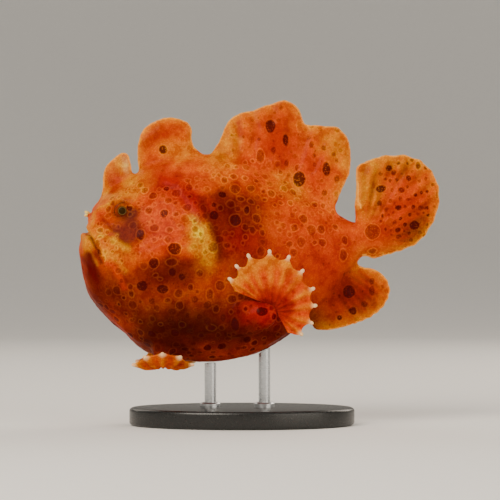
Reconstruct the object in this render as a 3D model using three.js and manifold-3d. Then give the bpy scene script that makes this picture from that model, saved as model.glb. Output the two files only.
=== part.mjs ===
// A young orange frogfish as a still, life-size museum model on a plain display stand.
// Millimetres, +Z up. The fish looks along -X and its left side faces -Y.
// Heights are written from the level of the pelvic soles, and the finished group is moved
// at the end so that its origin is at the middle of the underside of the stand.
import * as THREE from "three";
import { mergeVertices } from "three/addons/utils/BufferGeometryUtils.js";
import Module from "manifold-3d";

const wasm = await Module();
wasm.setup();

const GAP = 0.3; // between neighbouring pieces
const V = (x, y, z) => new THREE.Vector3(x, y, z);
const LEFT = -1;
const RIGHT = 1;

// Body sections from the lips to the end of the tail stem: top and bottom point of each
// section in the middle plane, and the half width of the fish there.
const SECTIONS = [
  { top: [-40.1, 26.8], bottom: [-40.1, 25.8], half: 0.4 },
  { top: [-39.8, 28.9], bottom: [-40.0, 23.4], half: 4.2 },
  { top: [-38.7, 30.9], bottom: [-39.5, 20.6], half: 6.9 },
  { top: [-38.1, 33.6], bottom: [-38.3, 17.2], half: 8.7 },
  { top: [-36.8, 36.2], bottom: [-36.4, 14.0], half: 10.1 },
  { top: [-34.1, 39.0], bottom: [-33.5, 11.0], half: 11.4 },
  { top: [-30.0, 41.7], bottom: [-29.8, 7.6], half: 12.5 },
  { top: [-24.4, 45.2], bottom: [-25.0, 3.6], half: 13.4 },
  { top: [-17.0, 47.2], bottom: [-17.8, 1.8], half: 13.8 },
  { top: [-9.0, 47.5], bottom: [-10.0, 1.5], half: 13.3 },
  { top: [-1.0, 45.2], bottom: [-2.5, 2.8], half: 11.9 },
  { top: [6.0, 41.6], bottom: [4.5, 6.2], half: 9.8 },
  { top: [12.0, 37.8], bottom: [11.0, 11.4], half: 7.4 },
  { top: [17.5, 34.2], bottom: [16.8, 17.4], half: 5.0 },
  { top: [21.6, 32.2], bottom: [21.2, 23.4], half: 2.9 },
  { top: [24.0, 31.0], bottom: [23.8, 25.6], half: 1.5 },
  { top: [25.2, 28.8], bottom: [25.2, 27.8], half: 0.3 },
];
const BODY_RINGS = 54;
const BODY_SIDES = 34;
const FRONT_CROWDING = 1.35; // rings lie closer together over the face
const BACK_TAPER = 0.17; // the back is narrower than the belly by this share

// Folds of the head in side view, raised or sunk in the body's own surface.
const MOUTH_LINE = [
  [-39.6, 31.0],
  [-38.3, 30.2],
  [-37.2, 28.7],
  [-36.0, 26.4],
  [-34.9, 23.7],
];
const MOUTH_DEPTH = 0.3;
const MOUTH_REACH = 0.8;
const LIP_RISE = 0.6;
const LIP_OFFSET = 1.2;
const LIP_REACH = 1.0;
const HEAD_SWELLINGS = [
  { name: "muzzle", at: [-34.4, 32.6], reach: 2.1, rise: 0.75 },
  { name: "brow", at: [-29.6, 37.6], reach: 1.9, rise: 0.6 },
  { name: "cheek", at: [-31.0, 26.4], reach: 3.0, rise: 0.7 },
  { name: "gill cover", at: [-14.5, 28.5], reach: 5.5, rise: 0.9 },
  { name: "chin pouch", at: [-37.6, 20.0], reach: 2.6, rise: 0.35 },
];

const EYE_PLACE = [-30.1, 34.9];
const EYE_RADIUS = 1.9;
const EYE_SINK = 1.0; // of the eyeball's centre below the skin
const EYE_RIM = 0.45;

// Outlines of the upright fins and dorsal spines, from front root to rear root.
const SECOND_SPINE = {
  name: "dorsal_spine_second",
  edge: [
    [-36.4, 35.6], [-35.4, 38.4], [-34.9, 41.0], [-34.8, 43.4], [-34.0, 45.3], [-32.2, 47.0], [-30.7, 48.0],
    [-29.4, 47.8], [-28.8, 46.0], [-28.4, 44.2], [-28.1, 42.4], [-27.9, 40.6],
  ],
  root: [[-34.4, 34.6], [-29.0, 39.2]],
  rootHalf: 2.5,
  edgeHalf: 0.55,
  rays: 1,
  lean: 0.25,
};
const THIRD_SPINE = {
  name: "dorsal_spine_third",
  edge: [
    [-26.7, 41.0], [-27.0, 44.0], [-27.2, 47.0], [-27.1, 49.9], [-26.1, 52.9], [-23.6, 54.9], [-20.5, 55.9],
    [-17.8, 55.5], [-15.8, 54.5], [-15.1, 53.0], [-15.2, 51.0], [-14.5, 49.3], [-13.0, 47.9], [-12.3, 46.0],
  ],
  root: [[-24.8, 40.6], [-14.6, 43.0]],
  rootHalf: 3.2,
  edgeHalf: 0.6,
  rays: 1,
  lean: -0.3,
};
const SOFT_DORSAL = {
  name: "fin_dorsal_soft",
  edge: [
    [-11.4, 46.0], [-10.6, 48.4], [-9.2, 50.2], [-7.2, 54.6], [-5.4, 56.4], [-2.0, 57.3], [2.2, 58.8],
    [5.6, 59.7], [8.0, 58.5], [9.2, 56.2], [10.0, 54.4], [13.4, 54.0], [17.0, 53.6], [19.1, 51.8], [20.0, 48.5],
    [20.1, 45.0], [19.0, 41.8], [17.5, 38.2], [16.9, 35.8], [17.6, 33.2],
  ],
  root: [[-9.6, 44.2], [0.0, 40.4], [8.0, 35.8], [15.4, 31.0]],
  rootHalf: 3.0,
  edgeHalf: 0.36,
  rays: 12,
  lean: 0.9,
};
const CAUDAL = {
  name: "fin_caudal",
  edge: [
    [22.9, 34.2], [22.2, 37.2], [21.8, 41.0], [21.8, 44.8], [24.2, 46.2], [28.0, 47.2], [32.4, 47.2],
    [36.4, 45.6], [39.0, 42.2], [39.8, 38.4], [39.4, 35.2], [37.7, 31.2], [35.0, 28.0], [31.2, 26.3], [27.8, 25.2],
    [25.0, 24.4], [23.4, 25.2],
  ],
  root: [[20.8, 31.4], [20.9, 28.6], [21.3, 25.6]],
  rootHalf: 3.0,
  edgeHalf: 0.34,
  rays: 9,
  lean: -1.1,
};
const ANAL = {
  name: "fin_anal",
  edge: [
    [21.3, 23.6], [22.6, 22.7], [25.2, 22.2], [27.7, 20.6], [28.9, 17.6], [27.8, 14.4], [24.9, 11.7], [21.2, 10.1],
    [18.4, 9.2], [15.4, 8.6], [12.3, 8.8], [10.6, 11.2],
  ],
  root: [[19.4, 24.2], [16.2, 20.6], [11.8, 15.4]],
  rootHalf: 2.4,
  edgeHalf: 0.36,
  rays: 7,
  lean: 0.7,
};
const UPRIGHT_STEPS = 38; // along each upright fin's edge
const UPRIGHT_ROWS = 5; // from root to edge
const RAY_RIDGE = 0.16;

// The first dorsal spine is the fishing rod. It is laid back along the right side of the
// second spine, and its frayed bait rests behind that spine.
const ROD_LINE = [
  [-36.7, 0.3, 36.6],
  [-35.6, 2.2, 39.6],
  [-33.4, 2.75, 42.6],
  [-30.6, 2.2, 44.8],
  [-28.2, 1.0, 45.0],
];
const ROD_ROOT_RADIUS = 0.42;
const ROD_TIP_RADIUS = 0.26;
const BAIT_LOBES = 7;
const BAIT_REACH = 1.1;

const NOSTRIL_PLACE = [-38.0, 34.2];
const NOSTRIL_SPREAD = 1.5; // from the middle plane
const NOSTRIL_LENGTH = 0.9;
const NOSTRIL_RADIUS = 0.55;

// Pectoral fins: an arm runs back along the flank to a wrist, and ten rays fan out from it.
const ARM_LINE = [
  [-12.5, 4.6, 12.4],
  [-6.0, 9.6, 11.6],
  [-0.5, 12.7, 12.3],
  [3.8, 13.9, 13.8],
];
const ARM_RADII = [4.6, 4.6, 3.9, 2.3];
const LIMB_SIDES = 12;
const LIMB_RINGS = 12;
const ARM_FLAT = 0.72; // thickness across, as a share of the arm's height
const PECTORAL_WRIST = [3.4, 14.2, 14.0];
const PECTORAL_TIPS = [
  [-6.7, 20.2], [-5.2, 23.0], [-2.6, 25.3], [2.0, 26.2], [6.2, 25.0], [9.2, 22.0], [11.5, 18.1], [12.0, 14.4],
  [11.2, 10.6], [9.0, 8.1],
];
const PECTORAL_CUP = 2.2; // how far the rim stands out from the flank past the wrist

// Pelvic fins: short legs under the throat, each ending in a hand of five rays.
const LEG_LINE = [
  [-21.6, 4.6, 6.6],
  [-21.4, 6.6, 4.2],
  [-21.2, 8.4, 2.7],
];
const LEG_RADII = [3.2, 2.6, 1.7];
const PELVIC_PALM = [-21.2, 8.2, 1.9];
const PELVIC_REACH = [6.6, 5.8, 5.4, 5.8, 6.5];
const PELVIC_FROM = 176; // degrees in plan, first ray forwards
const PELVIC_TO = 4; // last ray backwards
const PELVIC_CURL = 2.4; // rise of the middle ray tips

const WEB_DIP = 0.13; // of the skin between two ray tips, as a share of the reach
const TIP_RADIUS = 0.4;
const TIP_LENGTH = 0.9;

const STAND_LIFT = 8.5; // soles above the top of the base
const BASE_CENTRE = -4;
const BASE_LENGTH = 50;
const BASE_WIDTH = 34;
const BASE_HEIGHT = 4;
const BASE_CHAMFER = 0.8;
const STAND_ROD_RADIUS = 1.3;
const STAND_ROD_PLACES = { stand_rod_front: -11, stand_rod_rear: 1 };

const MATERIALS = {
  skin: new THREE.MeshStandardMaterial({ color: "#e4590f", roughness: 0.42, metalness: 0 }),
  fin: new THREE.MeshStandardMaterial({ color: "#f2850f", roughness: 0.4, metalness: 0 }),
  lure: new THREE.MeshStandardMaterial({ color: "#f3dfa6", roughness: 0.5, metalness: 0 }),
  eye: new THREE.MeshStandardMaterial({ color: "#5a3a12", roughness: 0.15, metalness: 0 }),
  base: new THREE.MeshStandardMaterial({ color: "#20201f", roughness: 0.35, metalness: 0 }),
  rod: new THREE.MeshStandardMaterial({ color: "#b9bcc0", roughness: 0.25, metalness: 1 }),
};

// Turns a closed three.js geometry into a solid that can be joined and cut. Faces that all
// look inwards are turned round.
function solid(geometry) {
  const bare = geometry.clone();
  for (const name of ["normal", "uv"]) bare.deleteAttribute(name);
  const merged = mergeVertices(bare, 1e-4);
  const kept = [];
  const index = merged.index.array;
  for (let i = 0; i < index.length; i += 3) {
    const [a, b, c] = [index[i], index[i + 1], index[i + 2]];
    if (a !== b && b !== c && c !== a) kept.push(a, b, c);
  }
  const vertProperties = merged.attributes.position.array;
  const build = (order) =>
    new wasm.Manifold(new wasm.Mesh({ numProp: 3, vertProperties, triVerts: new Uint32Array(order) }));
  const made = build(kept);
  return made.volume() > 0 ? made : build(kept.reverse());
}

// The largest closed surface of a solid, without scraps and sealed hollows.
function largest(shape) {
  return shape.decompose().reduce((best, piece) => (piece.volume() > best.volume() ? piece : best));
}

function geometryOf(shape) {
  const mesh = shape.getMesh();
  const geometry = new THREE.BufferGeometry();
  geometry.setAttribute("position", new THREE.BufferAttribute(new Float32Array(mesh.vertProperties), 3));
  geometry.setIndex(new THREE.BufferAttribute(new Uint32Array(mesh.triVerts), 1));
  geometry.computeVertexNormals();
  return geometry;
}

const bump = (distance, reach) => Math.exp(-((distance / reach) ** 2));

const curveThrough = (points, type = "centripetal") =>
  new THREE.CatmullRomCurve3(points.map((p) => V(...p)), false, type);

// Distance in side view from a point to a polyline.
function toPolyline(x, z, line) {
  let nearest = Infinity;
  for (let i = 1; i < line.length; i += 1) {
    const [ax, az] = line[i - 1];
    const [dx, dz] = [line[i][0] - ax, line[i][1] - az];
    const share = THREE.MathUtils.clamp(((x - ax) * dx + (z - az) * dz) / (dx * dx + dz * dz), 0, 1);
    nearest = Math.min(nearest, Math.hypot(x - ax - dx * share, z - az - dz * share));
  }
  return nearest;
}

const TOPS = curveThrough(SECTIONS.map((s) => [s.top[0], s.half, s.top[1]]), "catmullrom");
const BOTTOMS = curveThrough(SECTIONS.map((s) => [s.bottom[0], s.half, s.bottom[1]]), "catmullrom");

// A point of the plain body: u runs from the lips to the tail, angle from the back round the left side.
function bodyPoint(u, angle) {
  const top = TOPS.getPoint(u);
  const bottom = BOTTOMS.getPoint(u);
  const middle = top.clone().add(bottom).multiplyScalar(0.5);
  const rise = top.clone().sub(bottom).multiplyScalar(0.5);
  const [c, s] = [Math.cos(angle), Math.sin(angle)];
  const wide = Math.max(top.y, 0.05) * s * (1 - BACK_TAPER * c);
  return V(middle.x + rise.x * c, -wide, middle.z + rise.z * c);
}

// How far the folds of the face and gill cover stand out from the plain body.
function foldRise(x, z) {
  const fromMouth = toPolyline(x, z, MOUTH_LINE);
  let rise = LIP_RISE * bump(fromMouth - LIP_OFFSET, LIP_REACH);
  rise -= MOUTH_DEPTH * bump(fromMouth, MOUTH_REACH);
  for (const fold of HEAD_SWELLINGS) {
    rise += fold.rise * bump(Math.hypot(x - fold.at[0], z - fold.at[1]), fold.reach);
  }
  const fromEye = Math.hypot(x - EYE_PLACE[0], z - EYE_PLACE[1]);
  rise += EYE_RIM * bump(fromEye - EYE_RADIUS - 0.2, 0.6);
  return rise;
}

// The body's surface with its folds, grown outwards by a clearance.
function bodySurface(u, angle, grow) {
  const step = 1e-3;
  const at = bodyPoint(u, angle);
  const along = bodyPoint(Math.min(u + step, 1), angle).sub(bodyPoint(Math.max(u - step, 0), angle));
  const round = bodyPoint(u, angle + step).sub(bodyPoint(u, angle - step));
  const outward = round.cross(along).normalize();
  if (outward.lengthSq() < 0.5) outward.set(u < 0.5 ? -1 : 1, 0, 0);
  return at.addScaledVector(outward, foldRise(at.x, at.z) + grow);
}

// The whole body as one closed solid, bent from a sphere whose poles are the lips and the tail.
function bodySolid(grow) {
  const geometry = new THREE.SphereGeometry(1, BODY_SIDES, BODY_RINGS);
  const position = geometry.attributes.position;
  const uv = geometry.attributes.uv;
  for (let i = 0; i < position.count; i += 1) {
    const u = (1 - uv.getY(i)) ** FRONT_CROWDING;
    const pole = u < 1e-6 || u > 1 - 1e-6;
    if (pole) {
      const end = SECTIONS[u < 0.5 ? 0 : SECTIONS.length - 1];
      const sign = u < 0.5 ? -1 : 1;
      position.setXYZ(i, end.top[0] + sign * (0.1 + grow), 0, (end.top[1] + end.bottom[1]) / 2);
    } else {
      const p = bodySurface(u, uv.getX(i) * 2 * Math.PI, grow);
      if (uv.getX(i) > 1 - 1e-6) p.copy(bodySurface(u, 0, grow));
      position.setXYZ(i, p.x, p.y, p.z);
    }
  }
  return solid(geometry);
}

// A closed sheet over a grid of s and t, with both faces split alike. mid gives its middle
// surface, half its half thickness, and across the direction in which it is thick.
function sheet({ columns, rows, mid, half, across }) {
  const points = [];
  const index = [];
  const id = (i, j, side) => (i * (rows + 1) + j) * 2 + side;
  for (let i = 0; i <= columns; i += 1) {
    for (let j = 0; j <= rows; j += 1) {
      const [s, t] = [i / columns, j / rows];
      const m = mid(s, t);
      const h = half(s, t);
      for (const sign of [-1, 1]) points.push(...m.clone().addScaledVector(across, sign * h).toArray());
    }
  }
  const quad = (a, b, c, d) => index.push(a, b, c, a, c, d);
  for (let i = 0; i < columns; i += 1) {
    for (let j = 0; j < rows; j += 1) {
      quad(id(i, j, 0), id(i + 1, j, 0), id(i + 1, j + 1, 0), id(i, j + 1, 0));
      const [a, b, c, d] = [id(i, j, 1), id(i + 1, j, 1), id(i + 1, j + 1, 1), id(i, j + 1, 1)];
      index.push(a, c, b, a, d, c);
    }
    quad(id(i, 0, 1), id(i + 1, 0, 1), id(i + 1, 0, 0), id(i, 0, 0));
    quad(id(i, rows, 0), id(i + 1, rows, 0), id(i + 1, rows, 1), id(i, rows, 1));
  }
  for (let j = 0; j < rows; j += 1) {
    quad(id(0, j, 0), id(0, j + 1, 0), id(0, j + 1, 1), id(0, j, 1));
    quad(id(columns, j, 1), id(columns, j + 1, 1), id(columns, j + 1, 0), id(columns, j, 0));
  }
  const geometry = new THREE.BufferGeometry();
  geometry.setAttribute("position", new THREE.Float32BufferAttribute(points, 3));
  geometry.setIndex(index);
  return solid(geometry);
}

const smooth = (x) => x * x * (3 - 2 * x);

// An upright fin in the middle plane, thick and fleshy at its root, with rays as low ridges.
function uprightFin(fin) {
  const edge = curveThrough(fin.edge.map(([x, z]) => [x, 0, z]));
  const root = curveThrough(fin.root.map(([x, z]) => [x, 0, z]));
  return sheet({
    columns: UPRIGHT_STEPS,
    rows: UPRIGHT_ROWS,
    across: V(0, 1, 0),
    mid: (s, t) => {
      const m = root.getPoint(s).lerp(edge.getPoint(s), t);
      m.y += fin.lean * smooth(t) * Math.sin(Math.PI * 1.6 * s);
      return m;
    },
    half: (s, t) => {
      const plain = THREE.MathUtils.lerp(fin.rootHalf, fin.edgeHalf, t ** 0.62);
      const ridge = fin.rays > 1 ? Math.cos(Math.PI * fin.rays * s) ** 2 * Math.sin(Math.PI * t) : 0;
      const round = t > 0.999 ? 0.6 : 1;
      return plain * round + RAY_RIDGE * ridge;
    },
  });
}

// A hand of rays with skin webbed between them. tips are the ray ends and webs the low
// points between them. The first and last points are where its edge meets the wrist.
function hand({ wrist, tips, heel, across, rootHalf, edgeHalf, ridge, cup }) {
  const points = [heel[0]];
  tips.forEach((tip, k) => {
    points.push(tip);
    if (k < tips.length - 1) {
      const web = tip.clone().lerp(tips[k + 1], 0.5);
      points.push(web.lerp(wrist, WEB_DIP));
    }
  });
  points.push(heel[1]);
  const edge = new THREE.CatmullRomCurve3(points, false, "catmullrom", 0.35);
  const spans = points.length - 1;
  const rayAt = (s) => {
    const k = s * spans;
    return Math.cos((Math.PI * (k - 1)) / 2) ** 2 * (k > 0.5 && k < spans - 0.5 ? 1 : 0);
  };
  const inner = heel.map((point) => point.clone().lerp(wrist, 0.55));
  const around = new THREE.CatmullRomCurve3([inner[0], wrist, inner[1]]);
  let made = sheet({
    columns: spans * 2,
    rows: 3,
    across,
    mid: (s, t) => {
      const m = around.getPoint(s).lerp(edge.getPoint(s), t);
      return m.addScaledVector(across, cup * Math.sin(Math.PI * t) * Math.sin(Math.PI * s));
    },
    half: (s, t) => {
      const plain = THREE.MathUtils.lerp(rootHalf, edgeHalf, Math.sqrt(t));
      return plain + ridge * rayAt(s) * Math.sin(Math.PI * (0.15 + 0.85 * t));
    },
  });
  for (const tip of tips) {
    const out = tip.clone().sub(wrist).normalize();
    const knob = new THREE.CapsuleGeometry(TIP_RADIUS, TIP_LENGTH, 1, 6);
    knob.applyQuaternion(new THREE.Quaternion().setFromUnitVectors(V(0, 1, 0), out));
    knob.translate(...tip.clone().addScaledVector(out, -0.25).toArray());
    made = made.add(solid(knob));
  }
  return made;
}

// A fleshy limb with round ends along a curve. flat squashes it along the Y axis.
function limb(line, radii, flat) {
  const curve = curveThrough(line);
  const geometry = new THREE.SphereGeometry(1, LIMB_SIDES, LIMB_RINGS);
  const position = geometry.attributes.position;
  const uv = geometry.attributes.uv;
  const lengths = radii.length - 1;
  for (let i = 0; i < position.count; i += 1) {
    const t = (1 - Math.cos(Math.PI * (1 - uv.getY(i)))) / 2;
    const k = Math.min(Math.floor(t * lengths), lengths - 1);
    const radius = THREE.MathUtils.lerp(radii[k], radii[k + 1], t * lengths - k);
    const cap = Math.sqrt(Math.max(0, 1 - Math.abs(2 * t - 1) ** 8));
    const direction = curve.getTangent(t);
    const up = V(0, 0, 1).addScaledVector(direction, -direction.z).normalize();
    if (up.lengthSq() < 0.5) up.set(1, 0, 0);
    const side = direction.clone().cross(up).normalize();
    const turn = (uv.getX(i) > 1 - 1e-6 ? 0 : uv.getX(i)) * 2 * Math.PI;
    const p = curve.getPoint(t);
    p.addScaledVector(up, radius * cap * Math.cos(turn));
    p.addScaledVector(side, radius * cap * flat * Math.sin(turn));
    position.setXYZ(i, p.x, p.y, p.z);
  }
  return solid(geometry);
}

// A thin wall across the fish along a line in side view, used to part the body.
function knife(line, kerf) {
  const near = [];
  const far = [];
  line.forEach(([x, z], i) => {
    const before = line[Math.max(i - 1, 0)];
    const after = line[Math.min(i + 1, line.length - 1)];
    const normal = new THREE.Vector2(-(after[1] - before[1]), after[0] - before[0]).normalize();
    near.push(new THREE.Vector2(x, z).addScaledVector(normal, kerf / 2));
    far.unshift(new THREE.Vector2(x, z).addScaledVector(normal, -kerf / 2));
  });
  const width = 80;
  const outline = new THREE.Shape([...near, ...far]);
  const geometry = new THREE.ExtrudeGeometry(outline, { depth: width, bevelEnabled: false });
  geometry.rotateX(Math.PI / 2).translate(0, width / 2, 0);
  return solid(geometry);
}

const JAW_CUT = [[-44, 31.6], ...MOUTH_LINE.slice(1), [-33.6, 20.0], [-33.4, 16.0], [-36.6, 9.0]];
const NECK_CUT = [[-13.6, 60], [-13.0, 46], [-11.2, 35], [-10.4, 26], [-13.0, 16], [-15.4, 8], [-16.6, -4]];
const TAIL_CUT = [[19.6, 50], [19.0, 28], [18.8, 2]];

const place = (point, side) => V(point[0], side * point[1], point[2]);
const mirrored = (line, side) => line.map(([x, y, z]) => [x, side * y, z]);

// The pectoral arm, and the fan of rays that spreads from its wrist.
function pectoral(side) {
  const arm = limb(mirrored(ARM_LINE, side), ARM_RADII, ARM_FLAT);
  const armRoom = limb(mirrored(ARM_LINE, side), ARM_RADII.map((r) => r + GAP / ARM_FLAT), ARM_FLAT);
  const wrist = place(PECTORAL_WRIST, side);
  const tips = PECTORAL_TIPS.map(([x, z], k) => {
    const out = PECTORAL_CUP * (0.6 + 0.4 * Math.sin((Math.PI * k) / (PECTORAL_TIPS.length - 1)));
    return V(x, wrist.y + side * out, z);
  });
  const heel = [wrist.clone().add(V(-6.0, side * 0.9, 1.2)), wrist.clone().add(V(1.6, side * 0.4, -4.2))];
  const fan = hand({
    wrist,
    tips,
    heel,
    across: V(0, 1, 0),
    rootHalf: 1.0,
    edgeHalf: 0.27,
    ridge: 0.3,
    cup: -side * 0.8,
  });
  return { arm, fan: fan.subtract(armRoom) };
}

// The short pelvic leg and its hand, whose five rays curl up at their tips.
function pelvic(side) {
  const leg = limb(mirrored(LEG_LINE, side), LEG_RADII, 0.9);
  const legRoom = limb(mirrored(LEG_LINE, side), LEG_RADII.map((r) => r + GAP / 0.9), 0.9);
  const palm = place(PELVIC_PALM, side);
  const last = PELVIC_REACH.length - 1;
  const tips = PELVIC_REACH.map((reach, k) => {
    const angle = THREE.MathUtils.degToRad(THREE.MathUtils.lerp(PELVIC_FROM, PELVIC_TO, k / last));
    const curl = PELVIC_CURL * Math.sin((Math.PI * k) / last);
    return palm.clone().add(V(reach * Math.cos(angle), side * reach * Math.sin(angle), -0.6 + curl));
  });
  const heel = [palm.clone().add(V(-3.4, -side * 2.2, 0)), palm.clone().add(V(3.4, -side * 2.2, 0))];
  const fan = hand({
    wrist: palm,
    tips,
    heel,
    across: V(0, 0, 1),
    rootHalf: 1.0,
    edgeHalf: 0.3,
    ridge: 0.3,
    cup: -0.9,
  });
  return { leg, fan: fan.subtract(legRoom) };
}

// The fishing rod: a thin tapered spine with a frayed bait of small lobes.
function fishingRod() {
  const end = V(...ROD_LINE[ROD_LINE.length - 1]);
  let made = limb(ROD_LINE, [ROD_ROOT_RADIUS, ROD_TIP_RADIUS], 1);
  for (let k = 0; k < BAIT_LOBES; k += 1) {
    const angle = (2 * Math.PI * k) / BAIT_LOBES;
    const out = V(0.55 + 0.25 * Math.cos(3 * k), 0.8 * Math.cos(angle), 0.9 * Math.sin(angle)).normalize();
    const lobe = new THREE.ConeGeometry(0.3, BAIT_REACH, 5);
    lobe.translate(0, BAIT_REACH / 2 - 0.15, 0);
    lobe.applyQuaternion(new THREE.Quaternion().setFromUnitVectors(V(0, 1, 0), out));
    lobe.translate(...end.toArray());
    made = made.add(solid(lobe));
  }
  return made;
}

// Where the side of the head is at a point of the side view.
function skinAt(body, x, z, side) {
  const reach = 40;
  const probe = new THREE.CylinderGeometry(0.05, 0.05, reach, 6);
  probe.translate(x, (side * reach) / 2, z);
  const hit = solid(probe).intersect(body);
  const box = hit.boundingBox();
  return side < 0 ? box.min[1] : box.max[1];
}

const body = bodySolid(0);
const bodyRoom = bodySolid(GAP);

const fish = new THREE.Group();
function addNode(name, shape, material) {
  const mesh = new THREE.Mesh(geometryOf(largest(shape)), MATERIALS[material]);
  mesh.name = name;
  fish.add(mesh);
}

// Eyes first, so that the head can be hollowed for them.
let head = body;
for (const [side, name] of [[LEFT, "eye_left"], [RIGHT, "eye_right"]]) {
  const [x, z] = EYE_PLACE;
  const y = skinAt(body, x, z, side) - side * EYE_SINK;
  const ball = new THREE.SphereGeometry(EYE_RADIUS, 16, 10).translate(x, y, z);
  const socket = new THREE.SphereGeometry(EYE_RADIUS + GAP, 16, 10).translate(x, y, z);
  head = head.subtract(solid(socket));
  addNode(name, solid(ball), "eye");
}

// Short nostril tubes on the snout, fused to the head.
for (const side of [LEFT, RIGHT]) {
  const tube = new THREE.CylinderGeometry(NOSTRIL_RADIUS * 0.7, NOSTRIL_RADIUS, NOSTRIL_LENGTH * 2, 10);
  const lean = V(-0.85, side * 0.25, 0.35).normalize();
  tube.applyQuaternion(new THREE.Quaternion().setFromUnitVectors(V(0, 1, 0), lean));
  tube.translate(NOSTRIL_PLACE[0], side * NOSTRIL_SPREAD, NOSTRIL_PLACE[1]);
  head = head.add(solid(tube));
}

// The body parted by thin cuts into head, lower jaw, torso and tail stem.
const cuts = [JAW_CUT, NECK_CUT, TAIL_CUT].map((line) => knife(line, GAP));
const flesh = cuts.reduce((whole, cut) => whole.subtract(cut), head);
const pieces = flesh.decompose().filter((piece) => piece.volume() > 20);
const middleX = (piece) => (piece.boundingBox().min[0] + piece.boundingBox().max[0]) / 2;
pieces.sort((a, b) => middleX(a) - middleX(b));
["jaw_lower", "head", "torso", "tail_stem"].forEach((name, k) => addNode(name, pieces[k], "skin"));

for (const fin of [SECOND_SPINE, THIRD_SPINE, SOFT_DORSAL, CAUDAL, ANAL]) {
  addNode(fin.name, uprightFin(fin).subtract(bodyRoom), fin.rays > 1 ? "fin" : "skin");
}
addNode("fishing_rod", fishingRod().subtract(bodyRoom), "lure");

for (const [side, word] of [[LEFT, "left"], [RIGHT, "right"]]) {
  const upper = pectoral(side);
  addNode(`arm_${word}`, upper.arm.subtract(bodyRoom), "skin");
  addNode(`fin_pectoral_${word}`, upper.fan.subtract(bodyRoom), "fin");
  const lower = pelvic(side);
  addNode(`leg_${word}`, lower.leg.subtract(bodyRoom), "skin");
  addNode(`fin_pelvic_${word}`, lower.fan.subtract(bodyRoom), "fin");
}

// The plain stand: an oval base and two short rods up to the belly.
const baseTop = -STAND_LIFT;
const [ovalX, ovalY] = [BASE_LENGTH / 2 - BASE_CHAMFER, BASE_WIDTH / 2 - BASE_CHAMFER];
const oval = new THREE.Shape().absellipse(0, 0, ovalX, ovalY, 0, 2 * Math.PI);
const slab = new THREE.ExtrudeGeometry(oval, {
  depth: BASE_HEIGHT - 2 * BASE_CHAMFER,
  bevelThickness: BASE_CHAMFER,
  bevelSize: BASE_CHAMFER,
  bevelSegments: 2,
  curveSegments: 24,
});
slab.translate(BASE_CENTRE, 0, baseTop - BASE_HEIGHT + BASE_CHAMFER);
addNode("stand_base", solid(slab), "base");
for (const [name, x] of Object.entries(STAND_ROD_PLACES)) {
  const length = STAND_LIFT + 12;
  const rod = new THREE.CylinderGeometry(STAND_ROD_RADIUS, STAND_ROD_RADIUS, length, 20);
  rod.rotateX(Math.PI / 2).translate(x, 0, baseTop + GAP + length / 2);
  addNode(name, solid(rod).subtract(bodyRoom), "rod");
}

// The origin goes to the middle of the underside of the whole model.
const bounds = new THREE.Box3().setFromObject(fish);
const centre = bounds.getCenter(V(0, 0, 0));
fish.position.set(-centre.x, -centre.y, -bounds.min.z);

export default fish;
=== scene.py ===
"""Looks of the frogfish display model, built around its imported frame.

The fish looks along -X and its left side faces -Y, towards the camera. Sizes are in millimetres and in
the frame's own axes, and meshes are written in metres at the very end of their making.
"""

from __future__ import annotations

import logging
import math
from collections.abc import Sequence
from dataclasses import dataclass, field
from enum import Enum

import bmesh
import bpy
import numpy as np
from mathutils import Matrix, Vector
from mathutils.bvhtree import BVHTree

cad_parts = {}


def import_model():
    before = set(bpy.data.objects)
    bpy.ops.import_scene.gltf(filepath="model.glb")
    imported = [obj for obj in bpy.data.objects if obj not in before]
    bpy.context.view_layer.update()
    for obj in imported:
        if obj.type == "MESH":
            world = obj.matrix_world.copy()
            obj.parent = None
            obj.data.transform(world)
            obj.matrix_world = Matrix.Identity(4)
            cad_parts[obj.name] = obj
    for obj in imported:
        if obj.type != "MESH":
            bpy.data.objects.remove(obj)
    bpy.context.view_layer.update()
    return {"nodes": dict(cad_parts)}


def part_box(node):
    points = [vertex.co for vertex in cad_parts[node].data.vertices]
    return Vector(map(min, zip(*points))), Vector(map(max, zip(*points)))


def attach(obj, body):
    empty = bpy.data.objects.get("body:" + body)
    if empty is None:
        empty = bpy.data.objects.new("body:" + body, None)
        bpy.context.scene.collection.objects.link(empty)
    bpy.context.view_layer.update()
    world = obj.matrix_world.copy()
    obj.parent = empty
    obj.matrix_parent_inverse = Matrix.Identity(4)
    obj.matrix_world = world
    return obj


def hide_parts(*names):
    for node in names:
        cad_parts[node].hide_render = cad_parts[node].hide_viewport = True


LOG = logging.getLogger("frogfish")
MM = 0.001
BODY = "root"
DEEPENING = 1.4
PIGMENT_SHARE = 0.66
EYE_UP = 0.04
SIDES = {"left": -1.0, "right": 1.0}
FLESH = (
    "jaw_lower",
    "head",
    "torso",
    "tail_stem",
    "dorsal_spine_second",
    "dorsal_spine_third",
    "fin_dorsal_soft",
    "fin_caudal",
    "fin_anal",
    "arm_left",
    "arm_right",
    "leg_left",
    "leg_right",
)
TRUNK = ("jaw_lower", "head", "torso", "tail_stem")


class Paint(Enum):
    """Colours of the living skin, as sRGB hex values."""

    CREAM = "#ffe6b4"
    GOLD = "#ffd21c"
    AMBER = "#ffb80a"
    FLAME = "#ff8406"
    EMBER = "#f06406"
    BRICK = "#d42004"
    WINE = "#8e1405"
    RUST = "#7a2004"
    UMBER = "#4d1402"
    OLIVE = "#6e3405"
    PLUM = "#3a0608"


class Mark(Enum):
    """Kinds of skin spot: how dark the middle is and how strong the pale outline."""

    DARK = (0.88, 0.2)
    SOFT = (0.58, 0.08)
    RING = (0.52, 0.7)
    OCELLUS = (0.82, 0.7)
    FAINT = (0.25, 0.3)
    DOT = (0.42, 0.05)


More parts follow.
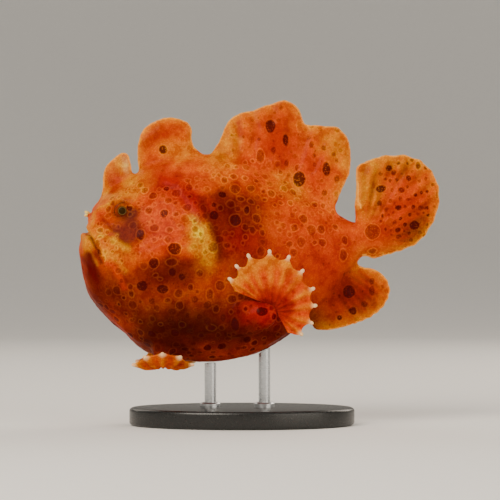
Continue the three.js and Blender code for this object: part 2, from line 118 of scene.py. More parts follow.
def linear(value: str) -> tuple[float, float, float, float]:
    """Turns an sRGB hex value to a linear colour.

    Args:
        value: The colour as "#rrggbb".

    Returns:
        Red, green, blue and alpha, in linear light.
    """
    shares = [int(value[i : i + 2], 16) / 255 for i in (1, 3, 5)]
    red, green, blue = (c / 12.92 if c <= 0.04045 else ((c + 0.055) / 1.055) ** 2.4 for c in shares)
    return red, green, blue, 1.0


def pigment(colour: Paint) -> np.ndarray:
    """A paint's linear colour, darkened because the view transform pales strong, bright colours.

    Args:
        colour: The paint.

    Returns:
        Red, green and blue.
    """
    return PIGMENT_SHARE * np.array(linear(colour.value)[:3]) ** DEEPENING


def smoothstep(low: float, high: float, value: np.ndarray) -> np.ndarray:
    """Rises smoothly from 0 at low to 1 at high.

    Args:
        low: Where the step starts.
        high: Where the step ends; it may be below low.
        value: Numbers to map.

    Returns:
        The share of the step for each number.
    """
    share = np.clip((value - low) / (high - low), 0.0, 1.0)
    return share * share * (3.0 - 2.0 * share)


def bell(distance: np.ndarray, reach: float) -> np.ndarray:
    """A smooth hump of height 1 that fades over a reach.

    Args:
        distance: Distances from the middle of the hump.
        reach: Distance at which it has sunk to about a third.

    Returns:
        The hump's height at each distance.
    """
    return np.exp(-((distance / reach) ** 2))


def to_line(points: np.ndarray, line: Sequence[tuple[float, float]]) -> np.ndarray:
    """Distance in side view from points to a polyline.

    Args:
        points: Places as rows of x, y and z.
        line: The polyline's corners as x and z.

    Returns:
        The least distance of each point.
    """
    nearest = np.full(len(points), np.inf)
    flat = points[:, [0, 2]]
    for start, end in zip(line[:-1], line[1:]):
        a = np.array(start)
        along = np.array(end) - a
        share = np.clip((flat - a) @ along / (along @ along), 0.0, 1.0)
        nearest = np.minimum(nearest, np.linalg.norm(flat - a - share[:, None] * along, axis=1))
    return nearest


def ripple(points: np.ndarray, wavelength: float, seed: int) -> np.ndarray:
    """Smooth, wandering unevenness, as a sum of waves in seeded directions.

    Args:
        points: Places as rows of x, y and z.
        wavelength: Typical distance between two crests.
        seed: Seed of the draw of the waves.

    Returns:
        Values around 0, mostly within -1 and 1.
    """
    rng = np.random.default_rng(seed)
    waves = 14
    total = np.zeros(len(points))
    for _ in range(waves):
        direction = rng.normal(size=3)
        direction *= 2 * math.pi / (wavelength * rng.uniform(0.7, 1.5) * np.linalg.norm(direction))
        total += np.sin(points @ direction + rng.uniform(0, 2 * math.pi))
    return total / math.sqrt(waves)


def catmull(points: Sequence[Sequence[float]], shares: np.ndarray) -> np.ndarray:
    """Places on a smooth curve through points.

    Args:
        points: The curve's points, spread evenly over 0 to 1.
        shares: Where on the curve, from 0 to 1.

    Returns:
        One row of coordinates for each share.
    """
    knots = np.asarray(points, dtype=float)
    padded = np.vstack([2 * knots[0] - knots[1], knots, 2 * knots[-1] - knots[-2]])
    place = np.clip(shares, 0.0, 1.0) * (len(knots) - 1)
    first = np.minimum(place.astype(int), len(knots) - 2)
    t = (place - first)[:, None]
    a, b, c, d = (padded[first + k] for k in range(4))
    return 0.5 * (2 * b + (c - a) * t + (2 * a - 5 * b + 4 * c - d) * t**2 + (3 * b - a - 3 * c + d) * t**3)


@dataclass
class Shell:
    """A mesh under work: its corners in millimetres and its faces."""

    name: str
    points: np.ndarray
    faces: list[tuple[int, ...]]

    def to_object(self, smooth: bool = True) -> bpy.types.Object:
        """Makes a Blender object of the mesh.

        Args:
            smooth: Whether its faces are shaded smooth.

        Returns:
            The new object, linked to the scene.
        """
        mesh = bpy.data.meshes.new(self.name)
        mesh.from_pydata((self.points * MM).tolist(), [], self.faces)
        turned = bmesh.new()
        turned.from_mesh(mesh)
        bmesh.ops.recalc_face_normals(turned, faces=turned.faces)
        turned.to_mesh(mesh)
        turned.free()
        if smooth:
            mesh.shade_smooth()
        return link(self.name, mesh)


def link(name: str, mesh: bpy.types.Mesh) -> bpy.types.Object:
    """Puts a mesh in the scene as an object of its own.

    Args:
        name: The object's name.
        mesh: Its mesh.

    Returns:
        The object.
    """
    made = bpy.data.objects.new(name, mesh)
    bpy.context.scene.collection.objects.link(made)
    return made


def corners(mesh: bpy.types.Mesh) -> np.ndarray:
    """Reads a mesh's corners in millimetres."""
    flat = np.empty(len(mesh.vertices) * 3, dtype=np.float32)
    mesh.vertices.foreach_get("co", flat)
    return flat.reshape(-1, 3).astype(float) / MM


def set_corners(mesh: bpy.types.Mesh, points: np.ndarray) -> None:
    """Writes a mesh's corners, given in millimetres."""
    mesh.vertices.foreach_set("co", (points * MM).astype(np.float32).ravel())
    mesh.update()


def normals(mesh: bpy.types.Mesh) -> np.ndarray:
    """Reads the outward direction at each corner of a mesh."""
    flat = np.empty(len(mesh.vertices) * 3, dtype=np.float32)
    mesh.vertex_normals.foreach_get("vector", flat)
    return flat.reshape(-1, 3).astype(float)


def edges(mesh: bpy.types.Mesh) -> np.ndarray:
    """Reads the two corners of each edge of a mesh."""
    flat = np.empty(len(mesh.edges) * 2, dtype=np.int32)
    mesh.edges.foreach_get("vertices", flat)
    return flat.reshape(-1, 2)


def paint(mesh: bpy.types.Mesh, name: str, values: np.ndarray) -> None:
    """Stores a number or a colour at each corner of a mesh.

    Args:
        mesh: The mesh to paint.
        name: The attribute's name, which the materials read.
        values: One number, or one linear colour of three shares, for each corner.
    """
    if values.ndim == 1:
        layer = mesh.attributes.new(name, "FLOAT", "POINT")
        layer.data.foreach_set("value", values.astype(np.float32))
        return
    layer = mesh.attributes.new(name, "FLOAT_COLOR", "POINT")
    rgba = np.column_stack([values, np.ones(len(values))])
    layer.data.foreach_set("color", rgba.astype(np.float32).ravel())


def baked(source: bpy.types.Object, name: str) -> bpy.types.Object:
    """Turns an object with modifiers into a plain mesh object and deletes the first.

    Args:
        source: The object with its modifiers.
        name: The name of the result.

    Returns:
        The plain object.
    """
    graph = bpy.context.evaluated_depsgraph_get()
    mesh = bpy.data.meshes.new_from_object(source.evaluated_get(graph), depsgraph=graph)
    old = source.data
    bpy.data.objects.remove(source)
    if old.users == 0:
        bpy.data.meshes.remove(old)
    mesh.name = name
    return link(name, mesh)


def relaxed(points: np.ndarray, pairs: np.ndarray, weight: np.ndarray, rounds: int) -> np.ndarray:
    """Evens a surface by drawing each corner towards its neighbours.

    Args:
        points: The corners.
        pairs: The two corners of each edge.
        weight: How far each corner moves in one round, from 0 to 1.
        rounds: How often.

    Returns:
        The evened corners.
    """
    count = len(points)
    ends = np.concatenate([pairs[:, 0], pairs[:, 1]])
    others = np.concatenate([pairs[:, 1], pairs[:, 0]])
    share = np.maximum(np.bincount(ends, minlength=count), 1)
    made = points.copy()
    for _ in range(rounds):
        for axis in range(3):
            mean = np.bincount(ends, weights=made[others, axis], minlength=count) / share
            made[:, axis] += weight * (mean - made[:, axis])
    return made


class Graph:
    """A material's or a tree's nodes, with short calls to add and join them."""

    def __init__(self, tree: bpy.types.NodeTree) -> None:
        """Starts on an empty tree."""
        self.tree = tree
        tree.nodes.clear()

    def add(self, kind: str, inputs: dict | None = None, **settings: object) -> bpy.types.Node:
        """Adds one node.

        Args:
            kind: The node's type name.
            inputs: Values or sockets for its inputs, by name or number.
            **settings: The node's own settings.

        Returns:
            The node.
        """
        node = self.tree.nodes.new(kind)
        for name, value in settings.items():
            setattr(node, name, value)
        for key, value in (inputs or {}).items():
            if isinstance(value, bpy.types.NodeSocket):
                self.tree.links.new(value, node.inputs[key])
            else:
                node.inputs[key].default_value = value
        return node


def ramp(graph: Graph, value: bpy.types.NodeSocket, low: float, high: float) -> bpy.types.NodeSocket:
    """Maps a number smoothly to 0 at low and 1 at high.

    Args:
        graph: The material's nodes.
        value: The number's socket.
        low: Where the result is 0.
        high: Where the result is 1.

    Returns:
        The result's socket.
    """
    node = graph.add("ShaderNodeMapRange", {"Value": value, 1: low, 2: high}, interpolation_type="SMOOTHSTEP")
    return node.outputs[0]


def mixed(
    graph: Graph,
    share: bpy.types.NodeSocket | float,
    first: bpy.types.NodeSocket | tuple,
    second: bpy.types.NodeSocket | tuple,
    mode: str = "MIX",
) -> bpy.types.NodeSocket:
    """Mixes two colours.

    Args:
        graph: The material's nodes.
        share: How much of the second colour shows.
        first: The colour below.
        second: The colour above.
        mode: Blender's blend mode.

    Returns:
        The mixed colour's socket.
    """
    inputs = {0: share, 6: first, 7: second}
    return graph.add("ShaderNodeMix", inputs, data_type="RGBA", blend_type=mode).outputs[2]


def times(graph: Graph, *factors: bpy.types.NodeSocket | float) -> bpy.types.NodeSocket:
    """Multiplies numbers.

    Args:
        graph: The material's nodes.
        *factors: Two or more sockets or numbers.

    Returns:
        The product's socket.
    """
    total = factors[0]
    for factor in factors[1:]:
        total = graph.add("ShaderNodeMath", {0: total, 1: factor}, operation="MULTIPLY").outputs[0]
    return total


@dataclass(frozen=True)
class WetSkin:
    """Frogfish skin: scaleless, wet and soft, so light sinks in and a thin film of slime shines.

    Its base colour, its spots and the painted glow of light through the fins' thin rims follow
    attributes painted on the mesh, and fine grains of pigment and tiny warts are added here.
    """

    name: str = "frogfish_skin_wet"
    mottle_mm: float = 2.6
    grain_mm: float = 0.42
    wart_mm: float = 0.75
    roughness: float = 0.52
    depth_mm: float = 1.1

    def build(self) -> bpy.types.Material:
        """Builds the material.

        Returns:
            The material, ready to assign.
        """
        material = bpy.data.materials.new(self.name)
        material.use_nodes = True
        graph = Graph(material.node_tree)
        where = graph.add("ShaderNodeTexCoord").outputs["Object"]
        tone = self.attribute(graph, "tone", "Color")
        mottle = graph.add(
            "ShaderNodeTexNoise",
            {"Vector": where, "Scale": 1 / (self.mottle_mm * MM), "Detail": 4.0, "Roughness": 0.62},
        ).outputs[0]
        grain = graph.add(
            "ShaderNodeTexVoronoi",
            {"Vector": where, "Scale": 1 / (self.grain_mm * MM), "Randomness": 1.0},
        ).outputs["Distance"]
        valley = times(graph, ramp(graph, mottle, 0.54, 0.36), 0.8)
        clouded = mixed(graph, valley, tone, (0.68, 0.36, 0.36, 1.0), "MULTIPLY")
        crest = ramp(graph, mottle, 0.52, 0.7)
        lit = mixed(graph, crest, clouded, (1.12, 1.5, 1.0, 1.0), "MULTIPLY")
        dots = times(graph, ramp(graph, grain, 0.22, 0.6), 0.6)
        base = mixed(graph, dots, lit, (0.76, 0.5, 0.5, 1.0), "MULTIPLY")
        spotted, halo = self.spots(graph, base, grain)
        # Painted glow: a pale orange line along the fins' outermost rims, for light shining through them.
        rim = ramp(graph, self.attribute(graph, "rim"), 0.36, 0.05)
        with_painted_rim_glow = mixed(graph, times(graph, rim, 0.7), spotted, linear("#ffb03c"))
        knob = self.attribute(graph, "knob")
        whitened = mixed(graph, knob, with_painted_rim_glow, linear("#ffc896"))
        relief = self.relief(graph, where, halo, grain)
        skin = graph.add(
            "ShaderNodeBsdfPrincipled",
            {
                "Base Color": whitened,
                "Roughness": self.roughness,
                "IOR": 1.4,
                "Specular IOR Level": 0.02,
                "Subsurface Weight": 0.4,
                "Subsurface Radius": (1.0, 0.25, 0.05),
                "Subsurface Scale": self.depth_mm * MM,
                "Coat Weight": 0.04,
                "Coat Roughness": 0.1,
                "Normal": relief,
            },
        )
        graph.add("ShaderNodeOutputMaterial", {"Surface": skin.outputs[0]})
        return material

    def attribute(self, graph: Graph, name: str, output: str = "Fac") -> bpy.types.NodeSocket:
        """Reads one painted attribute as a colour or as a number."""
        return graph.add("ShaderNodeAttribute", attribute_name=name).outputs[output]

    def spots(
        self, graph: Graph, base: bpy.types.NodeSocket, grain: bpy.types.NodeSocket
    ) -> tuple[bpy.types.NodeSocket, bpy.types.NodeSocket]:
        """Draws the spots and their pale outlines over the base colour.

        Args:
            graph: The material's nodes.
            base: The skin's colour below the spots.
            grain: The pigment grains, which also speckle the spots.

        Returns:
            The spotted colour, and the strength of the outlines.
        """
        edge = self.attribute(graph, "spot_edge")
        core = times(graph, ramp(graph, edge, 0.06, -0.22), self.attribute(graph, "spot_core"))
        speckled = times(graph, core, ramp(graph, grain, -0.25, 0.55))
        outlined = self.attribute(graph, "spot_halo")
        net = times(graph, ramp(graph, edge, 0.16, 0.34), ramp(graph, edge, 0.8, 0.4), outlined, 0.6)
        netted = mixed(graph, net, base, (0.66, 0.32, 0.32, 1.0), "MULTIPLY")
        filled = mixed(graph, speckled, netted, linear(Paint.PLUM.value))
        away = graph.add("ShaderNodeMath", {0: edge, 1: 0.1}, operation="SUBTRACT").outputs[0]
        off = graph.add("ShaderNodeMath", {0: away}, operation="ABSOLUTE").outputs[0]
        halo = times(graph, ramp(graph, off, 0.18, 0.02), outlined)
        lighter = mixed(graph, times(graph, halo, 0.8), filled, (1.25, 2.0, 1.2, 1.0), "MULTIPLY")
        return mixed(graph, times(graph, halo, 0.05), lighter, linear("#ff9a3c")), halo

    def relief(
        self,
        graph: Graph,
        where: bpy.types.NodeSocket,
        halo: bpy.types.NodeSocket,
        grain: bpy.types.NodeSocket,
    ) -> bpy.types.NodeSocket:
        """Raises grains, tiny warts and the outlines of the spots.

        Args:
            graph: The material's nodes.
            where: Object coordinates.
            halo: Strength of the spots' outlines.
            grain: The pigment grains.

        Returns:
            The bent normal's socket.
        """
        wart = graph.add(
            "ShaderNodeTexVoronoi",
            {"Vector": where, "Scale": 1 / (self.wart_mm * MM)},
            feature="SMOOTH_F1",
        ).outputs["Distance"]
        lumps = graph.add("ShaderNodeBump", {"Strength": 0.35, "Distance": 0.07 * MM, "Height": wart}, invert=True)
        rings = graph.add(
            "ShaderNodeBump",
            {"Strength": 0.5, "Distance": 0.06 * MM, "Height": halo, "Normal": lumps.outputs[0]},
        )
        fine = graph.add(
            "ShaderNodeBump",
            {"Strength": 0.25, "Distance": 0.03 * MM, "Height": grain, "Normal": rings.outputs[0]},
            invert=True,
        )
        return fine.outputs[0]


@dataclass(frozen=True)
class Cloud:
    """A soft patch of one colour, placed in side view and shown on both sides."""

    at: tuple[float, float]
    half: tuple[float, float]
    paint: Paint
    strength: float = 0.9
    turn: float = 0.0

    def cover(self, points: np.ndarray) -> np.ndarray:
        """How much of the patch lies on each point.

        Args:
            points: Places as rows of x, y and z.

        Returns:
            The patch's cover, from 0 to its strength.
        """
        away = points[:, [0, 2]] - np.array(self.at)
        c, s = math.cos(math.radians(self.turn)), math.sin(math.radians(self.turn))
        along = (away[:, 0] * c + away[:, 1] * s) / self.half[0]
        over = (away[:, 1] * c - away[:, 0] * s) / self.half[1]
        return self.strength * np.exp(-((along**2 + over**2) ** 1.3))


CLOUDS = (
    # The dark belly and throat.
    Cloud((-13, 20), (30, 11), Paint.RUST, 0.95),
    Cloud((-18, 22.5), (16, 5), Paint.UMBER, 0.5),
    Cloud((6, 21), (11, 5), Paint.RUST, 0.7, 25),
    Cloud((-34, 28), (7, 9), Paint.RUST, 0.8, -50),
    Cloud((-6, 14.6), (18, 3.6), Paint.EMBER, 0.75, 6),
    Cloud((-31, 22), (5, 3), Paint.EMBER, 0.5, -50),
    # The flank, red towards the tail, and dark behind the gill cover, where painted shadow stands for the shade under
    # its rear edge.
    Cloud((9, 37), (12, 8), Paint.BRICK, 0.4, 20),
    Cloud((17, 36), (7, 6), Paint.BRICK, 0.5),
    # Painted shadow: wine patches on the flank behind the gill cover's rear edge.
    Cloud((-5, 42), (7.5, 8), Paint.WINE, 0.9, -20),
    Cloud((-8.2, 48), (4.2, 4.5), Paint.WINE, 0.85),
    Cloud((-3, 40), (6, 4), Paint.BRICK, 0.5),
    Cloud((-3.6, 48.6), (6, 4.6), Paint.WINE, 0.55),
    # The head: red saddle, dark cheek and face bands, and gold on the gill cover's rear edge, which is painted glow
    # of light through its thin skin.
    # Painted glow: gold and amber along the gill cover's rear edge, for light shining through its thin skin.
    Cloud((-13.2, 41.4), (2.8, 4.6), Paint.GOLD, 0.9, 25),
    Cloud((-11.5, 37.4), (2.2, 3.4), Paint.AMBER, 0.7),
    Cloud((-21, 54), (6.5, 3.4), Paint.BRICK, 0.95, -25),
    Cloud((-14.8, 49.6), (5.2, 3.2), Paint.BRICK, 0.98, -42),
    Cloud((-21, 43), (7, 6), Paint.EMBER, 0.6),
    Cloud((-19.5, 33.5), (9.5, 4.2), Paint.WINE, 0.92, 8),
    Cloud((-19, 34.4), (5, 2.4), Paint.UMBER, 0.35),
    Cloud((-28.4, 43), (3.6, 3.6), Paint.WINE, 0.9, -60),
    Cloud((-29.6, 47), (3.4, 2.8), Paint.OLIVE, 0.75),
    Cloud((-28, 52.3), (4.6, 2.2), Paint.AMBER, 0.85, 30),
    Cloud((-29.9, 47.3), (2.1, 1.9), Paint.OLIVE, 0.6),
    Cloud((-31, 39.4), (3.4, 1.9), Paint.AMBER, 0.8, -25),
    Cloud((-36.6, 42), (2.4, 2.2), Paint.AMBER, 0.6),
    Cloud((-37.4, 40.3), (1.5, 2.4), Paint.GOLD, 0.5, 25),
    Cloud((-36.8, 35), (2.4, 4.2), Paint.WINE, 0.95, 15),
    Cloud((-33.4, 51), (2.6, 1.8), Paint.AMBER, 0.8),
    # The second and third dorsal spines.
    Cloud((-30.6, 58.8), (3.0, 3.2), Paint.GOLD, 0.95),
    Cloud((-32.6, 53.8), (2.2, 2.8), Paint.BRICK, 0.9, 20),
    Cloud((-29.4, 58.4), (1.0, 2.4), Paint.CREAM, 0.9, -8),
    Cloud((-28.8, 54.4), (1.6, 1.4), Paint.AMBER, 0.8),
    Cloud((-22.5, 64), (5, 2.2), Paint.BRICK, 0.95, 35),
    Cloud((-18, 61), (4.5, 3), Paint.AMBER, 0.7),
    # The soft dorsal fin.
    Cloud((-8, 62), (4, 7), Paint.AMBER, 0.9, -20),
    Cloud((4.6, 62), (4.2, 7), Paint.BRICK, 0.72, 15),
    Cloud((8, 68.5), (3, 2.4), Paint.EMBER, 0.5),
    Cloud((17, 62), (3.4, 5), Paint.AMBER, 0.85, 30),
    Cloud((12, 56), (3.6, 5), Paint.EMBER, 0.6),
    Cloud((7, 53), (5, 2.6), Paint.AMBER, 0.6, -35),
    # The tail fin, the anal fin and the tail stem.
    Cloud((24, 53), (3, 6), Paint.AMBER, 0.9),
    Cloud((31, 58.6), (7, 2.4), Paint.AMBER, 0.8),
    Cloud((34, 46), (6, 8), Paint.EMBER, 0.85),
    Cloud((36, 42), (4.6, 4.6), Paint.RUST, 0.8, 45),
    Cloud((29, 40), (6, 3), Paint.BRICK, 0.5, -20),
    Cloud((21, 29), (6.4, 5.8), Paint.BRICK, 0.85, 20),
    Cloud((19.6, 29.6), (4, 4), Paint.RUST, 0.5, 20),
    Cloud((25, 26), (5, 4), Paint.WINE, 0.4),
    # The arm, and the fleshy root of its fan.
    Cloud((-4, 25), (6, 3.2), Paint.WINE, 0.8),
    Cloud((1.8, 25.8), (5, 3.8), Paint.BRICK, 0.95),
)


@dataclass(frozen=True)
class Stripe:
    """A soft band of one colour along a line in side view, shown on both sides."""

    line: tuple[tuple[float, float], ...]
    reach: float
    paint: Paint
    strength: float


STRIPES = (
    Stripe(((-36.4, 45.0), (-36.2, 47.2), (-34.8, 48.4), (-32.9, 48.8)), 0.45, Paint.AMBER, 0.7),
    Stripe(((-36.5, 44.5), (-35.4, 43.4), (-32.9, 43.2), (-31.1, 42.3)), 0.45, Paint.AMBER, 0.6),
    Stripe(((-34.9, 46.6), (-34.3, 45.2), (-32.6, 45.0)), 0.5, Paint.BRICK, 0.5),
    Stripe(((-33.8, 45.2), (-31.0, 43.0), (-28.4, 40.2)), 0.9, Paint.WINE, 0.6),
    Stripe(((-34.8, 42.4), (-31.6, 40.8), (-28.4, 38.8)), 0.6, Paint.GOLD, 0.6),
    Stripe(((-34.4, 39.4), (-31.4, 37.2), (-29.0, 34.6)), 0.6, Paint.AMBER, 0.6),
    Stripe(((-33.4, 36.8), (-30.8, 33.8), (-29.2, 30.6)), 0.5, Paint.EMBER, 0.6),
    Stripe(((-39.3, 42.0), (-38.2, 40.6), (-37.3, 39.0)), 0.6, Paint.AMBER, 0.85),
    Stripe(((-37.3, 39.0), (-36.2, 37.6), (-35.4, 35.6)), 0.35, Paint.AMBER, 0.7),
    Stripe(((-37.2, 37.4), (-36.2, 34.2), (-35.2, 30.4)), 1.2, Paint.WINE, 0.85),
    Stripe(((-38.2, 44.0), (-36.5, 42.6), (-34.8, 40.4), (-33.4, 37.2)), 0.6, Paint.AMBER, 0.8),
    Stripe(((-38.6, 43.2), (-36.6, 41.2), (-35.2, 38.7), (-34.4, 36.2)), 0.22, Paint.RUST, 0.8),
    # Painted glow: a gold band along the gill cover's rear edge, for light shining through its thin skin.
    Stripe(((-14.2, 45.2), (-12.8, 42.4), (-11.6, 39.6), (-11.0, 36.8)), 1.0, Paint.GOLD, 0.8),
    # Painted shadow: a wine band on the flank just behind the gill cover's rear edge.
    Stripe(((-12.6, 49.4), (-10.2, 45.4), (-8.9, 41.2), (-8.4, 37.2)), 1.1, Paint.WINE, 0.7),
)

Spot = tuple[float, float, float, float]
SPOTS: dict[Mark, tuple[Spot, ...]] = {
    # Each spot is its place along and above the floor, then its width and height in side view.
    Mark.DARK: (
        (2.5, 66.4, 2.4, 3.2),
        (5.9, 63.4, 1.5, 3.0),
        (8.9, 54.6, 2.9, 3.7),
        (14.9, 56.9, 2.0, 3.3),
        (27.0, 52.5, 2.3, 1.9),
        (30.9, 48.3, 1.5, 1.3),
        (34.5, 44.4, 2.3, 2.3),
        (20.0, 29.6, 2.9, 3.0),
        (20.8, 25.4, 2.0, 1.9),
        (17.9, 23.9, 1.5, 1.4),
        (-9.8, 46.5, 2.2, 2.2),
        (-9.8, 49.0, 1.3, 1.5),
        (-8.0, 51.2, 2.0, 2.0),
        (-25.4, 31.1, 2.6, 2.2),
        (-20.9, 30.4, 2.5, 2.1),
        (-16.8, 33.1, 1.6, 1.6),
        (-18.8, 34.1, 1.7, 2.0),
        (-5.3, 22.6, 1.9, 3.5),
        (-18.4, 20.7, 2.0, 2.0),
        (-23.5, 20.4, 2.0, 2.0),
        (-11.3, 17.3, 2.0, 2.2),
        (-8.1, 17.5, 2.2, 2.3),
        (-2.5, 19.0, 2.1, 2.1),
        (-12.6, 20.1, 1.5, 1.2),
        (6.5, 24.6, 1.7, 2.1),
        (-21.3, 61.2, 1.9, 2.2),
        (0.6, 25.6, 2.7, 2.2),
    ),
    Mark.SOFT: (
        (23.4, 26.9, 1.7, 1.6),
        (25.1, 29.8, 1.5, 2.4),
        (25.1, 31.9, 1.3, 1.8),
        (-30.0, 32.2, 1.0, 1.3),
        (-22.4, 17.4, 2.0, 1.8),
        (-11.3, 27.0, 1.8, 1.9),
        (-14.0, 28.1, 1.6, 1.8),
        (-18.9, 25.5, 2.0, 1.7),
        (-23.3, 27.8, 1.7, 1.5),
        (-12.9, 24.4, 1.4, 1.4),
        (-15.5, 24.6, 1.4, 1.5),
        (-7.9, 24.1, 1.4, 2.0),
        (-14.4, 18.1, 1.4, 1.7),
        (11.6, 62.3, 1.3, 1.6),
        (12.2, 59.9, 1.0, 1.4),
        (14.3, 61.6, 1.4, 1.4),
        (6.1, 58.2, 1.2, 2.1),
        (3.1, 61.0, 1.2, 2.4),
        (14.5, 51.6, 1.4, 1.6),
        (17.3, 54.6, 1.2, 1.8),
        (26.9, 55.8, 1.2, 1.1),
        (30.0, 44.9, 1.3, 1.5),
        (28.2, 47.9, 1.2, 1.3),
        (33.3, 50.1, 1.4, 1.0),
        (-36.8, 36.1, 0.9, 1.3),
        (-35.1, 33.0, 0.9, 1.2),
    ),
    Mark.OCELLUS: (
        (-28.3, 48.2, 1.6, 1.8),
        (-28.2, 46.7, 1.1, 1.0),
        (-18.4, 39.2, 3.0, 2.7),
        (-20.7, 47.0, 1.8, 2.0),
        (-5.2, 45.4, 2.6, 2.7),
        (-25.8, 42.3, 2.0, 2.6),
        (-22.9, 36.1, 2.1, 2.4),
        (-20.3, 52.4, 1.5, 1.4),
        (-2.7, 47.7, 1.3, 1.9),
    ),
    Mark.RING: (
        (0.3, 59.7, 1.8, 3.2),
        (-5.2, 52.4, 2.3, 2.3),
        (-5.5, 55.3, 1.9, 1.6),
        (-7.6, 54.4, 1.6, 1.8),
        (-4.0, 50.2, 1.6, 1.3),
        (-1.7, 49.7, 1.6, 1.3),
        (-0.5, 45.9, 2.0, 2.0),
        (-1.4, 43.2, 1.3, 1.8),
        (2.8, 51.5, 1.9, 2.0),
        (1.4, 50.1, 1.2, 1.2),
        (4.9, 49.3, 1.3, 1.1),
        (9.8, 45.9, 2.0, 2.4),
        (7.9, 43.9, 2.0, 1.8),
        (13.8, 43.6, 2.0, 2.2),
        (17.0, 44.2, 1.6, 1.7),
        (14.1, 40.6, 1.9, 2.0),
        (19.0, 41.2, 1.7, 2.0),
        (18.7, 37.7, 2.0, 2.8),
        (25.1, 42.9, 3.4, 3.4),
        (25.3, 38.5, 2.0, 1.7),
        (-25.1, 52.2, 1.7, 1.7),
        (-23.3, 50.9, 1.9, 1.9),
        (-24.1, 47.7, 1.6, 1.9),
        (-22.8, 43.8, 2.2, 1.7),
        (-19.5, 43.4, 1.6, 1.3),
        (-22.8, 41.2, 1.2, 1.1),
        (-15.3, 52.8, 1.7, 2.2),
        (-19.0, 36.3, 2.4, 1.6),
        (-8.5, 31.2, 2.0, 2.0),
        (-5.9, 28.3, 2.0, 1.7),
        (3.2, 27.9, 1.6, 1.4),
        (-10.4, 21.9, 2.0, 1.3),
        (-10.7, 29.2, 1.5, 2.4),
    ),
    Mark.FAINT: (
        (-1.7, 63.4, 1.4, 2.0),
        (9.0, 66.5, 1.2, 2.6),
        (29.0, 44.9, 2.0, 2.2),
        (17.2, 51.3, 1.3, 1.4),
    ),
}


@dataclass(frozen=True)
class Scatter:
    """Seeded small marks that fill a region between the larger ones."""

    middle: tuple[float, float]
    half: tuple[float, float]
    count: int
    mark: Mark
    least: float
    most: float


SCATTERS = (
    Scatter((0, 48), (19, 11), 360, Mark.RING, 0.9, 2.1),
    Scatter((-23, 43), (13, 11), 240, Mark.RING, 0.7, 1.9),
    Scatter((-16, 23), (22, 11), 260, Mark.OCELLUS, 0.9, 2.0),
    Scatter((-16, 24), (22, 10), 200, Mark.SOFT, 0.9, 1.8),
    Scatter((2, 46), (24, 13), 700, Mark.DOT, 0.4, 0.9),
    Scatter((-23, 43), (15, 14), 560, Mark.DOT, 0.4, 0.9),
    Scatter((-14, 24), (27, 12), 560, Mark.FAINT, 0.4, 1.0),
    Scatter((33, 50), (7, 10), 240, Mark.DARK, 0.8, 1.6),
    Scatter((33, 50), (7, 10), 200, Mark.SOFT, 0.4, 0.9),
    Scatter((6, 62), (13, 9), 170, Mark.SOFT, 0.5, 1.3),
    Scatter((22, 27), (8, 8), 60, Mark.SOFT, 0.5, 1.3),
)


@dataclass(frozen=True)
class Fold:
    """A ridge or groove of the skin along a line in side view."""

    name: str
    line: tuple[tuple[float, float], ...]
    rise: float
    reach: float


FOLDS = (
    Fold("mouth", ((-40.2, 43.9), (-38.1, 42.8), (-36.6, 41.1), (-35.2, 38.6), (-34.4, 36.0)), -0.8, 0.34),
    Fold("upper lip", ((-38.4, 44.2), (-36.6, 42.8), (-35.0, 40.6), (-33.6, 37.4)), 0.35, 0.6),
    Fold("lower lip", ((-39.4, 42.4), (-37.8, 41.0), (-36.3, 38.4), (-35.3, 35.6)), 0.38, 0.7),
    Fold("snout crease", ((-37.6, 47.8), (-36.4, 45.6), (-34.8, 43.6), (-33.4, 41.2)), -0.28, 0.5),
    Fold("muzzle", ((-36.4, 45.0), (-36.2, 47.2), (-34.8, 48.4), (-32.9, 48.8)), 0.3, 0.6),
    Fold("under muzzle", ((-36.3, 44.4), (-35.2, 43.5), (-32.9, 43.3)), 0.25, 0.6),
    Fold("cheek fold", ((-34.4, 41.6), (-32.2, 40.3), (-29.6, 39.0), (-27.8, 37.6)), 0.3, 0.8),
    Fold("under cheek", ((-34.6, 39.0), (-32.0, 36.8), (-29.4, 34.2)), -0.22, 0.8),
    Fold("jaw corner", ((-34.7, 36.2), (-33.6, 33.4), (-33.5, 30.4)), -0.3, 0.6),
    Fold("brow", ((-32.2, 49.9), (-30.0, 50.6), (-27.6, 50.2)), 0.3, 0.7),
    Fold("gill cover", ((-17.0, 52.0), (-13.4, 48.2), (-11.2, 44.0), (-10.0, 39.6)), 0.35, 1.3),
    Fold("behind gill cover", ((-14.4, 51.4), (-11.2, 47.4), (-9.2, 43.0), (-8.4, 39.4)), -0.3, 1.1),
    Fold("saddle", ((-21.8, 53.4), (-17.8, 51.4), (-15.0, 48.6)), -0.25, 1.2),
    Fold("pouch", ((-30.5, 33.0), (-25.0, 30.6), (-18.0, 29.6)), 0.25, 1.6),
)


@dataclass(frozen=True)
class Nudge:
    """A soft local shift of the skin in side view, which brings its profile to the photo's."""

    at: tuple[float, float]
    shift: tuple[float, float]
    reach: float


NUDGES = (
    Nudge((-39.0, 44.6), (1.0, 0.1), 1.1),
    Nudge((-39.6, 41.6), (0.35, -0.2), 1.6),
    Nudge((-38.6, 34.0), (0.55, 0.1), 3.6),
)


